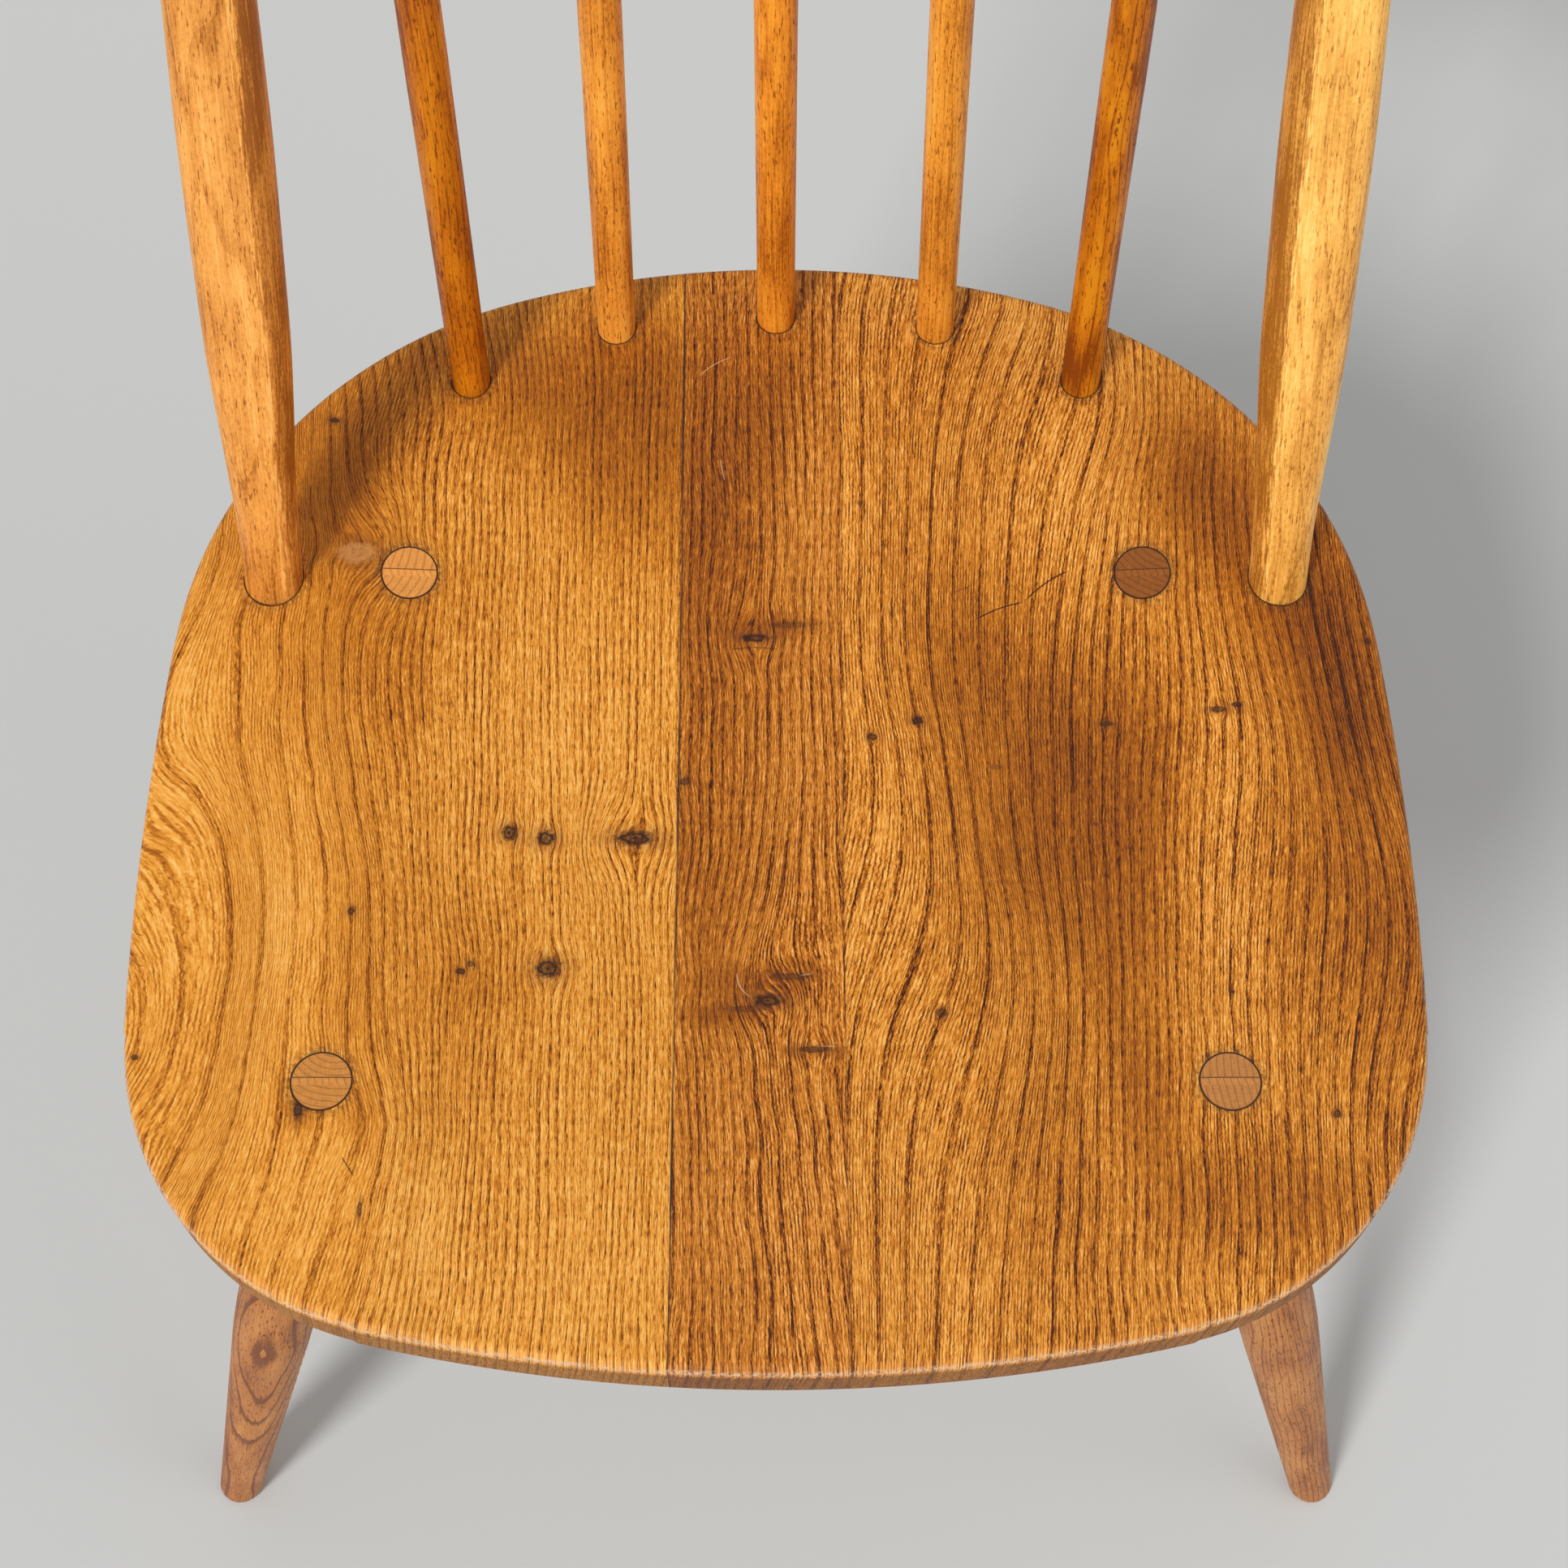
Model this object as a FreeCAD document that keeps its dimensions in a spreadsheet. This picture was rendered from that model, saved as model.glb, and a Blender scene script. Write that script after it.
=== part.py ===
import FreeCAD, Part

import math
import os
import re

import Sketcher

# Stick-back chair: a dished seat of three boards on four turned legs, with stretchers below and
# two posts, five sticks and a bent crest rail above. Millimetres, +Z up, front towards -Y.
# Depths named from_front and from_back are measured on the seat from its front and back edges.
dimensions = {
    # Seat outline, a closed chain of tangent arcs
    "seat_height": 432,
    "seat_width": 418,
    "seat_depth": 402,
    "seat_thickness": 38,
    "front_radius": 588,
    "corner_radius": 100,
    "side_radius": 1114,
    "widest_from_front": 150,
    "shoulder_radius": 158,
    "back_radius": 315,
    # Seat edge and the two glue joints between the boards
    "bevel_width": 26,
    "bevel_height": 15,
    "rim_round": 3.5,
    "edge_round": 5,
    "left_joint_offset": 32.6,
    "right_joint_offset": 22.4,
    # Dish of the seat, with a shallow hollow for each thigh
    "dish_depth": 9,
    "dish_half_width": 176,
    "dish_half_length": 168,
    "dish_from_front": 205,
    "thigh_depth": 2.5,
    "thigh_spread": 100,
    "thigh_from_front": 150,
    "thigh_half_width": 42,
    "thigh_half_length": 95,
    # Legs
    "leg_tenon_radius": 9.4,
    "leg_neck_below_seat": 4,
    "leg_belly_radius": 15.9,
    "leg_belly_height": 240,
    "leg_belly_round": 1200,
    "leg_foot_radius": 9.2,
    "foot_edge_round": 2,
    "front_leg_inset": 65.5,
    "front_leg_from_front": 93.3,
    "front_foot_outset": 32,
    "front_foot_from_front": 46,
    "rear_leg_inset": 83.3,
    "rear_leg_from_back": 126,
    "rear_foot_inset": 4,
    "rear_foot_behind_back": 8,
    # Stretchers
    "stretcher_height": 178,
    "stretcher_belly_radius": 10.5,
    "stretcher_belly_round": 900,
    "stretcher_end_radius": 7,
    "stretcher_neck": 1.5,
    "side_tenon_stop": 3,
    "cross_tenon_radius": 5.5,
    "cross_tenon_stop": 2.5,
    # Sticks
    "stick_foot_radius": 6.7,
    "stick_belly_radius": 7.1,
    "stick_belly_height": 150,
    "stick_belly_round": 3000,
    "stick_top_radius": 6.2,
    "seat_socket_depth": 24,
    "crest_socket_depth": 22,
    "middle_stick_from_back": 22,
    "inner_stick_spread": 57,
    "inner_stick_from_back": 26.5,
    "inner_top_spread": 54,
    "outer_stick_spread": 108,
    "outer_stick_from_back": 49,
    "outer_top_spread": 111,
    # Posts
    "post_inset": 37,
    "post_from_back": 128.4,
    "post_top_spread": 157,
    "post_foot_radius": 9.9,
    "post_taper_start": 24,
    "post_taper_end": 96,
    "post_taper_radius": 13.7,
    "post_belly_radius": 14.3,
    "post_belly_height": 175,
    "post_taper_round": 160,
    "post_belly_round": 900,
    "post_neck_radius": 11.2,
    "post_flat": 10.6,
    "post_tenon_radius": 6,
    "post_tenon_depth": 30,
    # Crest rail
    "crest_rise": 296,
    "crest_setback": 33,
    "crest_radius": 262,
    "crest_lean": 12,
    "crest_height": 74,
    "crest_thickness": 22,
    "crest_half_width": 194,
    "crest_corner_round": 26,
    "crest_arch_drop": 9,
    "crest_arch_round": 3000,
    "crest_edge_round": 6,
    # Wedges and pegs
    "wedge_thickness": 2.4,
    "wedge_tip": 0.8,
    "wedge_length": 26,
    "peg_radius": 3,
    "peg_length": 17,
    "peg_height": 13,
    # Fits and trimming
    "glue_gap": 0.1,
    "end_gap": 0.3,
    "trim_allowance": 8,
    "trim_height": 70,
}

doc = FreeCAD.newDocument("windsor_chair")
pieces = []


def makeSheet():
    sheet = doc.addObject("Spreadsheet::Sheet", "Sizes")
    for row, (word, number) in enumerate(dimensions.items(), start=1):
        sheet.set(f"A{row}", str(number))
        sheet.setAlias(f"A{row}", word)
    doc.recompute()
    return sheet


sizes = makeSheet()


edgeTolerance = 0.01


def size(word):
    return float(sizes.get(word))


def withSheet(formula):
    """Put the sheet's name before each of its aliases."""
    return re.sub(r"[a-z_]+", lambda found: ("Sizes." if found[0] in dimensions else "") + found[0], formula)


def bind(item, target, formula):
    item.setExpression(target, withSheet(formula))


# Places, as formulas of the sheet's aliases

# The row's origin lies under the middle of the chair's depth, from the seat's front edge to the
# crest rail's back.
crestReach = "(crest_thickness / (2 * cos(crest_lean)) + crest_height * tan(crest_lean))"
middle = f"((seat_depth + crest_setback + {crestReach}) / 2)"


def fromFront(formula):
    return f"({formula} - {middle})"


def fromBack(formula):
    return f"(seat_depth - ({formula}) - {middle})"


def crestPoint(side, spread, rise):
    """A point of the crest rail's middle surface, a given rise above its lower edge."""
    across = f"({side} * {spread})"
    radius = f"(crest_radius + ({rise}) * tan(crest_lean))"
    back = f"({fromFront('seat_depth + crest_setback - crest_radius')} + sqrt({radius}^2 - {spread}^2))"
    return across, back, f"(seat_height + crest_rise + {rise})"


def between(low, high, share):
    return tuple(f"({a} + ({b} - {a}) * {share})" for a, b in zip(low, high))


def legPoint(leg, height):
    """The point of a leg's axis at a given height above the floor."""
    return between(*leg, f"({height}) / seat_height")


def spanOf(low, high):
    return f"hypot({'; '.join(f'{b} - {a}' for a, b in zip(low, high))})"


def along(low, high, start="0"):
    """A placement that stands at low and has its Z axis towards high."""
    dx, dy, dz = (f"({b} - {a})" for a, b in zip(low, high))
    turn = f"rotation(vector(-{dy}; {dx}; 0); atan2(hypot({dx}; {dy}); {dz}))"
    lift = f"placement(vector(0; 0; {start}); rotation(vector(0; 0; 1); 0))"
    return f"placement(vector({'; '.join(low)}); {turn}) * {lift}"


# Building blocks

def originPart(body, role):
    return next(item for item in body.Origin.OriginFeatures if item.Role == role)


def planeSketch(body, name, role):
    sketch = body.newObject("Sketcher::SketchObject", name)
    sketch.AttachmentSupport = [(originPart(body, role), "")]
    sketch.MapMode = "FlatFace"
    return sketch


def pin(sketch, kind, geometry, point, formula, start):
    """A distance from the sketch's origin to a point, bound to the sheet."""
    index = sketch.addConstraint(Sketcher.Constraint(kind, -1, 1, geometry, point, start))
    bind(sketch, f"Constraints[{index}]", formula)


def setRadius(sketch, geometry, formula, start):
    index = sketch.addConstraint(Sketcher.Constraint("Radius", geometry, start))
    bind(sketch, f"Constraints[{index}]", formula)


def polygonSketch(body, name, role, corners, rounds=()):
    """A closed polygon whose corners are pairs of formulas; rounds lists (corner, radius)."""
    sketch = planeSketch(body, name, role)
    count = len(corners)
    # Rough places to start from, which the constraints below then move
    draftWidth = 10
    draftRise = 20
    drafts = [FreeCAD.Vector(0 if across == "0" else draftWidth, draftRise * i, 0)
              for i, (across, _) in enumerate(corners)]
    for i in range(count):
        sketch.addGeometry(Part.LineSegment(drafts[i], drafts[(i + 1) % count]))
    for i in range(count):
        sketch.addConstraint(Sketcher.Constraint("Coincident", i, 2, (i + 1) % count, 1))
    for i, (across, up) in enumerate(corners):
        if across == "0":
            sketch.addConstraint(Sketcher.Constraint("PointOnObject", i, 1, -2))
        else:
            pin(sketch, "DistanceX", i, 1, across, drafts[i].x)
        pin(sketch, "DistanceY", i, 1, up, drafts[i].y)
    doc.recompute()
    for corner, radius in rounds:
        sketch.fillet(corner, 1, size(radius), True, True)
        setRadius(sketch, sketch.GeometryCount - 2, radius, size(radius))
    doc.recompute()
    return sketch


def turned(name, stations, placement, rounds=()):
    """A piece from the lathe: (radius, height) stations up its own Z axis."""
    body = doc.addObject("PartDesign::Body", name)
    outline = [("0", stations[0][1])] + list(stations) + [("0", stations[-1][1])]
    shifted = [(corner + 1, radius) for corner, radius in rounds]
    sketch = polygonSketch(body, f"{name}_profile", "XZ_Plane", outline, shifted)
    turn = body.newObject("PartDesign::Revolution", f"{name}_turning")
    turn.Profile = sketch
    turn.ReferenceAxis = (sketch, ["V_Axis"])
    bind(body, "Placement", placement)
    return body


def rod(name, radius, low, high, start, end):
    """A plain cylinder on the axis from low to high, between two distances along it."""
    item = doc.addObject("Part::Cylinder", name)
    bind(item, "Radius", radius)
    bind(item, "Height", f"({end}) - ({start})")
    bind(item, "Placement", along(low, high, start))
    return item


def joined(kind, name, base, tool):
    item = doc.addObject(kind, name)
    item.Base = base
    item.Tool = tool
    return item


def cutBy(name, base, tools):
    for number, tool in enumerate(tools, start=1):
        base = joined("Part::Cut", f"{name}_cut_{number}", base, tool)
    return base


def keep(item, node):
    item.Label = node
    pieces.append(item)


def roundEdges(name, base, radius, wanted):
    """Fillet the base's edges that the wanted test picks out."""
    doc.recompute()
    item = doc.addObject("Part::Fillet", name)
    item.Base = base
    picked = [i for i, edge in enumerate(base.Shape.Edges, start=1) if wanted(edge)]
    item.Edges = [(i, size(radius), size(radius)) for i in picked]
    return item


# Seat

def circlesMeet(first, firstRadius, second, secondRadius, pick):
    """Of the two points where two circles meet, the one that pick chooses by its depth."""
    apart = second - first
    share = (firstRadius ** 2 - secondRadius ** 2 + apart.Length ** 2) / (2 * apart.Length)
    rise = math.sqrt(firstRadius ** 2 - share ** 2)
    onward = FreeCAD.Vector(apart).normalize()
    sideways = FreeCAD.Vector(-onward.y, onward.x, 0)
    found = [first + onward * share + sideways * way * rise for way in (1, -1)]
    return pick(found, key=lambda point: point.y)


def seatOutline(body):
    """The seat's outline seen from above, from the middle of its front edge."""
    frontCentre = FreeCAD.Vector(0, size("front_radius"), 0)
    sideCentre = FreeCAD.Vector(size("seat_width") / 2 - size("side_radius"), size("widest_from_front"), 0)
    backCentre = FreeCAD.Vector(0, size("seat_depth") - size("back_radius"), 0)
    cornerCentre = circlesMeet(frontCentre, size("front_radius") - size("corner_radius"),
                               sideCentre, size("side_radius") - size("corner_radius"), min)
    shoulderCentre = circlesMeet(sideCentre, size("side_radius") - size("shoulder_radius"),
                                 backCentre, size("back_radius") - size("shoulder_radius"), max)

    def angle(start, end):
        return math.atan2(end.y - start.y, end.x - start.x)

    def flipped(point):
        return FreeCAD.Vector(-point.x, point.y, 0)

    frontEnd = angle(frontCentre, cornerCentre)
    cornerEnd = angle(sideCentre, cornerCentre)
    sideEnd = angle(sideCentre, shoulderCentre)
    shoulderEnd = angle(backCentre, shoulderCentre)
    # Each arc, anticlockwise from the front: its centre, radius and end angles
    arcs = [
        (frontCentre, "front_radius", -math.pi - frontEnd, frontEnd),
        (cornerCentre, "corner_radius", frontEnd, cornerEnd),
        (sideCentre, "side_radius", cornerEnd, sideEnd),
        (shoulderCentre, "shoulder_radius", sideEnd, shoulderEnd),
        (backCentre, "back_radius", shoulderEnd, math.pi - shoulderEnd),
        (flipped(shoulderCentre), "shoulder_radius", math.pi - shoulderEnd, math.pi - sideEnd),
        (flipped(sideCentre), "side_radius", math.pi - sideEnd, math.pi - cornerEnd),
        (flipped(cornerCentre), "corner_radius", math.pi - cornerEnd, math.pi - frontEnd),
    ]
    sketch = planeSketch(body, "seat_outline", "XY_Plane")
    for centre, radius, start, end in arcs:
        circle = Part.Circle(centre, FreeCAD.Vector(0, 0, 1), size(radius))
        sketch.addGeometry(Part.ArcOfCircle(circle, start, end))
    for i, (centre, radius, start, end) in enumerate(arcs):
        setRadius(sketch, i, radius, size(radius))
        sketch.addConstraint(Sketcher.Constraint("Tangent", i, 2, (i + 1) % len(arcs), 1))
    for geometry in (0, 4):
        sketch.addConstraint(Sketcher.Constraint("PointOnObject", geometry, 3, -2))
    pin(sketch, "DistanceY", 0, 3, "front_radius", frontCentre.y)
    pin(sketch, "DistanceY", 4, 3, "seat_depth - back_radius", backCentre.y)
    for geometry, side in ((2, "1"), (6, "-1")):
        pin(sketch, "DistanceX", geometry, 3, f"{side} * (seat_width / 2 - side_radius)",
            float(side) * sideCentre.x)
        pin(sketch, "DistanceY", geometry, 3, "widest_from_front", sideCentre.y)
    return sketch


def seatBlank():
    """The glued-up slab with its bevelled underside, still above its final top."""
    body = doc.addObject("PartDesign::Body", "seat_blank")
    sketch = seatOutline(body)
    pad = body.newObject("PartDesign::Pad", "seat_slab")
    pad.Profile = sketch
    bind(pad, "Length", "seat_thickness + trim_allowance")
    doc.recompute()
    under = [f"Edge{i}" for i, edge in enumerate(pad.Shape.Edges, start=1)
             if edge.BoundBox.ZMax < edgeTolerance]
    bevel = body.newObject("PartDesign::Chamfer", "seat_bevel")
    bevel.Base = (pad, under)
    bevel.ChamferType = "Two distances"
    bind(bevel, "Size", "bevel_height")
    bind(bevel, "Size2", "bevel_width")
    bind(body, "Placement.Base.y", fromFront("0"))
    bind(body, "Placement.Base.z", "seat_height - seat_thickness")
    return body


def seatSurfaceHeight(x, depth):
    """The height of the seat's top at a place, with depth from the front edge."""
    reach = (x / size("dish_half_width")) ** 2
    reach += ((depth - size("dish_from_front")) / size("dish_half_length")) ** 2
    bowl = size("dish_depth") * max(0, 1 - reach) ** 2
    lengthwise = ((depth - size("thigh_from_front")) / size("thigh_half_length")) ** 2
    sideways = ((abs(x) - size("thigh_spread")) / size("thigh_half_width")) ** 2
    thigh = size("thigh_depth") * math.exp(-lengthwise - sideways)
    return size("seat_height") - bowl - thigh


def carvingCutter():
    """Everything above the seat's dished top, as one solid."""
    margin = size("trim_height") / 2
    halfWidth = size("seat_width") / 2 + margin
    depth = size("seat_depth") + 2 * margin
    steps = 18
    rows = []
    for i in range(steps + 1):
        x = halfWidth * (2 * i / steps - 1)
        places = [depth * j / steps - margin for j in range(steps + 1)]
        rows.append([FreeCAD.Vector(x, y, seatSurfaceHeight(x, y)) for y in places])
    surface = Part.BSplineSurface()
    surface.interpolate(rows)
    cutter = doc.addObject("Part::Feature", "carving_cutter")
    cutter.Shape = surface.toShape().extrude(FreeCAD.Vector(0, 0, size("trim_height")))
    bind(cutter, "Placement.Base.y", fromFront("0"))
    return cutter


def shapedSeat(cutter):
    """The whole seat before it is parted into boards: carved on top and with soft edges."""
    dished = joined("Part::Cut", "seat_dished", seatBlank(), cutter)
    bevelTop = size("seat_height") - size("seat_thickness") + size("bevel_height")
    mostRimWave = 3

    def onRim(edge):
        box = edge.BoundBox
        nearlyLevel = box.ZMax - box.ZMin < mostRimWave
        return nearlyLevel and box.ZMin > size("seat_height") - size("dish_depth")

    def onBevel(edge):
        box = edge.BoundBox
        return abs(box.ZMin - bevelTop) < edgeTolerance and abs(box.ZMax - bevelTop) < edgeTolerance

    softTop = roundEdges("seat_soft_top", dished, "rim_round", onRim)
    return roundEdges("seat_soft_edge", softTop, "edge_round", onBevel)


def board(name, seat, start, end):
    """The stretch of the seat between two planes across its width."""
    slab = doc.addObject("Part::Box", f"{name}_slab")
    bind(slab, "Length", f"({end}) - ({start})")
    bind(slab, "Width", "seat_depth + 2 * trim_height")
    bind(slab, "Height", "seat_thickness + 2 * trim_height")
    bind(slab, "Placement.Base.x", start)
    bind(slab, "Placement.Base.y", fromFront("-trim_height"))
    bind(slab, "Placement.Base.z", "seat_height - seat_thickness - trim_height")
    return joined("Part::Common", f"{name}_blank", seat, slab)


# Legs, each an axis from its foot on the floor to its tenon's middle at the seat's rim height

def legAxis(side, row):
    if row == "front":
        foot = (f"({side} * (seat_width / 2 + front_foot_outset))", fromFront("front_foot_from_front"), "0")
        top = (f"({side} * (seat_width / 2 - front_leg_inset))", fromFront("front_leg_from_front"))
    else:
        foot = (f"({side} * (seat_width / 2 - rear_foot_inset))", fromBack("-rear_foot_behind_back"), "0")
        top = (f"({side} * (seat_width / 2 - rear_leg_inset))", fromBack("rear_leg_from_back"))
    return foot, top + ("seat_height",)


def wedgeBlank(name, placement):
    """A wedge that widens up its Z axis, long enough to cross its tenon and stand proud of it."""
    body = doc.addObject("PartDesign::Body", name)
    top = "wedge_thickness / 2 * (1 + trim_allowance / wedge_length)"
    corners = [
        ("-wedge_tip / 2", "-wedge_length"),
        ("wedge_tip / 2", "-wedge_length"),
        (top, "trim_allowance"),
        (f"-{top}", "trim_allowance"),
    ]
    sketch = polygonSketch(body, f"{name}_taper", "YZ_Plane", corners)
    pad = body.newObject("PartDesign::Pad", f"{name}_pad")
    pad.Profile = sketch
    pad.SideType = "Symmetric"
    bind(pad, "Length", "4 * post_foot_radius")
    bind(body, "Placement", placement)
    return body


def makeLeg(row, hand, side, cutter, floor, socket):
    axis = legAxis(side, row)
    node = f"{row}_{hand}_leg"
    length = spanOf(*axis)
    stations = [
        ("leg_foot_radius", "-trim_allowance"),
        ("leg_belly_radius", "leg_belly_height"),
        ("leg_tenon_radius", f"{length} - seat_thickness - leg_neck_below_seat"),
        ("leg_tenon_radius", f"{length} + trim_allowance / 2"),
    ]
    whole = turned(f"{node}_turned", stations, along(*axis), [(1, "leg_belly_round")])
    wedge = wedgeBlank(f"{node}_wedge_blank", along(*axis, start=length))
    tenon = rod(f"{node}_tenon", "leg_tenon_radius", *axis, f"{length} - seat_thickness",
                f"{length} + trim_allowance")
    driven = joined("Part::Common", f"{node}_wedge_driven", wedge, tenon)
    cut = cutBy(node, whole, [cutter, floor, driven, socket])

    def onFloor(edge):
        return edge.BoundBox.ZMax < edgeTolerance

    keep(roundEdges(f"{node}_soft", cut, "foot_edge_round", onFloor), node)
    keep(cutBy(f"{node}_wedge", driven, [cutter]), f"{node}_wedge")
    return axis


def stretcherSockets(name, low, high, radius, stop, bearer):
    """The two holes that a stretcher's tenons go into, at its low and its high end."""
    return [rod(f"{name}_socket_{number}", f"{radius} + glue_gap", *axis, f"{stop} - end_gap",
                f"{bearer} + trim_allowance")
            for number, axis in enumerate(((low, high), (high, low)), start=1)]


def makeStretcher(node, low, high, radius, stop, bearer, sockets):
    """A stretcher between two axes, whose tenons stop short of both; bearer is what they enter."""
    length = spanOf(low, high)
    shoulder = f"({bearer} + stretcher_neck)"
    stations = [
        (radius, stop),
        (radius, shoulder),
        ("stretcher_belly_radius", f"{length} / 2"),
        (radius, f"{length} - {shoulder}"),
        (radius, f"{length} - {stop}"),
    ]
    whole = turned(f"{node}_turned", stations, along(low, high), [(2, "stretcher_belly_round")])
    keep(cutBy(node, whole, sockets), node)


# Back

def makeStick(node, foot, top):
    """A stick between its places on the seat and in the crest rail; returns its two sockets."""
    length = spanOf(foot, top)
    end = f"{length} + crest_socket_depth / 2"
    stations = [
        ("stick_foot_radius", "-seat_socket_depth"),
        ("stick_foot_radius", "0"),
        ("stick_belly_radius", "stick_belly_height"),
        ("stick_top_radius", f"{length} - crest_socket_depth"),
        ("stick_top_radius", end),
    ]
    keep(turned(node, stations, along(foot, top), [(2, "stick_belly_round")]), node)
    seatSocket = rod(f"{node}_seat_socket", "stick_foot_radius + glue_gap", foot, top,
                     "-seat_socket_depth - end_gap", "trim_allowance")
    crestSocket = rod(f"{node}_crest_socket", "stick_top_radius + glue_gap", foot, top,
                      f"{length} - crest_socket_depth", f"{end} + end_gap")
    return seatSocket, crestSocket


def makePost(hand, side, underSeat, crestRoom, crest):
    """A post with its wedge and its peg; returns their holes in the seat and the crest rail."""
    node = f"{hand}_post"
    foot = (f"({side} * (seat_width / 2 - post_inset))", fromBack("post_from_back"), "seat_height")
    top = crestPoint(side, "post_top_spread", "post_tenon_depth / 2")
    length = spanOf(foot, top)
    deep = "-(seat_thickness + 2 * trim_allowance)"
    stations = [
        ("post_foot_radius", deep),
        ("post_foot_radius", "post_taper_start"),
        ("post_taper_radius", "post_taper_end"),
        ("post_belly_radius", "post_belly_height"),
        ("post_neck_radius", length),
    ]
    rounds = [(1, "post_taper_round"), (2, "post_taper_round"), (3, "post_belly_round")]
    turnedPost = turned(f"{node}_turned", stations, along(foot, top), rounds)
    planed = doc.addObject("Part::Box", f"{node}_planed")
    bind(planed, "Length", "4 * post_belly_radius")
    bind(planed, "Width", "2 * post_flat")
    bind(planed, "Height", "seat_height + crest_rise")
    shift = f"placement(vector(-2 * post_belly_radius; -post_flat; {deep}); rotation(vector(0; 0; 1); 0))"
    bind(planed, "Placement", f"{along(foot, top)} * {shift}")
    flatted = joined("Part::Common", f"{node}_flatted", turnedPost, planed)
    scribed = joined("Part::Cut", f"{node}_scribed", flatted, crestRoom)
    tenonEnd = f"{length} + post_tenon_depth / 2"
    tenon = rod(f"{node}_tenon", "post_tenon_radius", foot, top, f"{length} - post_tenon_depth", tenonEnd)
    whole = joined("Part::Fuse", f"{node}_whole", scribed, tenon)

    wedge = wedgeBlank(f"{node}_wedge_blank", along(top, foot, start=f"{length} + seat_thickness"))
    footEnd = rod(f"{node}_foot_end", "post_foot_radius", foot, top, deep, "0")
    driven = joined("Part::Common", f"{node}_wedge_driven", wedge, footEnd)
    keep(cutBy(f"{node}_wedge", driven, [underSeat]), f"{node}_wedge")

    pegAxis = [crestNormalPoint(side, "post_top_spread", "peg_height", out)
               for out in ("crest_thickness / 2 - peg_length", "crest_thickness / 2 + trim_allowance")]
    pegReach = "peg_length + trim_allowance"
    peg = rod(f"{node}_peg_rod", "peg_radius", *pegAxis, "0", pegReach)
    pegHole = rod(f"{node}_peg_hole", "peg_radius + glue_gap", *pegAxis, "-end_gap", pegReach)
    keep(joined("Part::Common", f"{hand}_crest_peg", crest, peg), f"{hand}_crest_peg")

    keep(cutBy(node, whole, [underSeat, driven, pegHole]), node)
    seatHole = rod(f"{node}_seat_hole", "post_foot_radius + glue_gap", foot, top, deep, "trim_allowance")
    crestHole = rod(f"{node}_crest_hole", "post_tenon_radius + glue_gap", foot, top,
                    f"{length} - post_tenon_depth", f"{tenonEnd} + end_gap")
    return seatHole, crestHole, pegHole


def crestNormalPoint(side, spread, rise, out):
    """A point a given way out of the crest rail's middle surface, towards its back."""
    across, back, up = crestPoint(side, spread, rise)
    turn = f"({spread} / (crest_radius + ({rise}) * tan(crest_lean)))"
    return (f"({across} + {side} * ({out}) * {turn} * cos(crest_lean))",
            f"({back} + ({out}) * sqrt(1 - {turn}^2) * cos(crest_lean))",
            f"({up} - ({out}) * sin(crest_lean))")


def crestSector():
    """A leaning slab turned about the centre of the rail's curve, a little too tall."""
    sector = doc.addObject("PartDesign::Body", "crest_sector")
    half = "crest_thickness / (2 * cos(crest_lean))"
    low = "crest_radius - trim_allowance * tan(crest_lean)"
    high = "crest_radius + (crest_height + trim_allowance) * tan(crest_lean)"
    corners = [
        (f"{low} - {half}", "-trim_allowance"),
        (f"{low} + {half}", "-trim_allowance"),
        (f"{high} + {half}", "crest_height + trim_allowance"),
        (f"{high} - {half}", "crest_height + trim_allowance"),
    ]
    turn = sector.newObject("PartDesign::Revolution", "crest_bend")
    sketch = polygonSketch(sector, "crest_section", "YZ_Plane", corners)
    turn.Profile = sketch
    turn.ReferenceAxis = (sketch, ["V_Axis"])
    turn.Midplane = True
    bind(turn, "Angle", "2 * asin(crest_half_width / crest_radius)")
    return sector


def crestOutline():
    """The rail's lower edge and its arched top, as a block seen from the front."""
    outline = doc.addObject("PartDesign::Body", "crest_outline")
    shoulder = "crest_height - crest_arch_drop"
    corners = [
        ("-crest_radius", "0"),
        ("crest_radius", "0"),
        ("crest_radius", shoulder),
        ("0", "crest_height"),
        ("-crest_radius", shoulder),
    ]
    sketch = polygonSketch(outline, "crest_arch", "XZ_Plane", corners, [(3, "crest_arch_round")])
    pad = outline.newObject("PartDesign::Pad", "crest_block")
    pad.Profile = sketch
    pad.SideType = "Symmetric"
    bind(pad, "Length", "4 * crest_radius")
    return outline


def shapedCrest():
    """The whole crest rail before its sockets are bored."""
    sector = crestSector()
    outline = crestOutline()
    for body in (sector, outline):
        bind(body, "Placement.Base.y", fromFront("seat_depth + crest_setback - crest_radius"))
        bind(body, "Placement.Base.z", "seat_height + crest_rise")
    arched = joined("Part::Common", "crest_arched", sector, outline)
    mostlyAcross = 0.9
    partlyAcross = 0.7

    def acrossRail(edge):
        """How far an edge runs through the rail's thickness, from 0 to 1."""
        halfway = (edge.FirstParameter + edge.LastParameter) / 2
        outward = edge.valueAt(halfway) - sector.Placement.Base
        outward.z = 0
        outward.normalize()
        outward.z = -math.tan(math.radians(size("crest_lean")))
        return abs(edge.tangentAt(halfway).dot(outward.normalize()))

    def atEndCorner(edge):
        return acrossRail(edge) > mostlyAcross and abs(edge.CenterOfMass.x) > size("crest_height")

    def onFaceRim(edge):
        return acrossRail(edge) < partlyAcross

    cornered = roundEdges("crest_cornered", arched, "crest_corner_round", atEndCorner)
    return roundEdges("crest_softened", cornered, "crest_edge_round", onFaceRim)


# Assembly

hands = (("left", "-1"), ("right", "1"))


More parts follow.
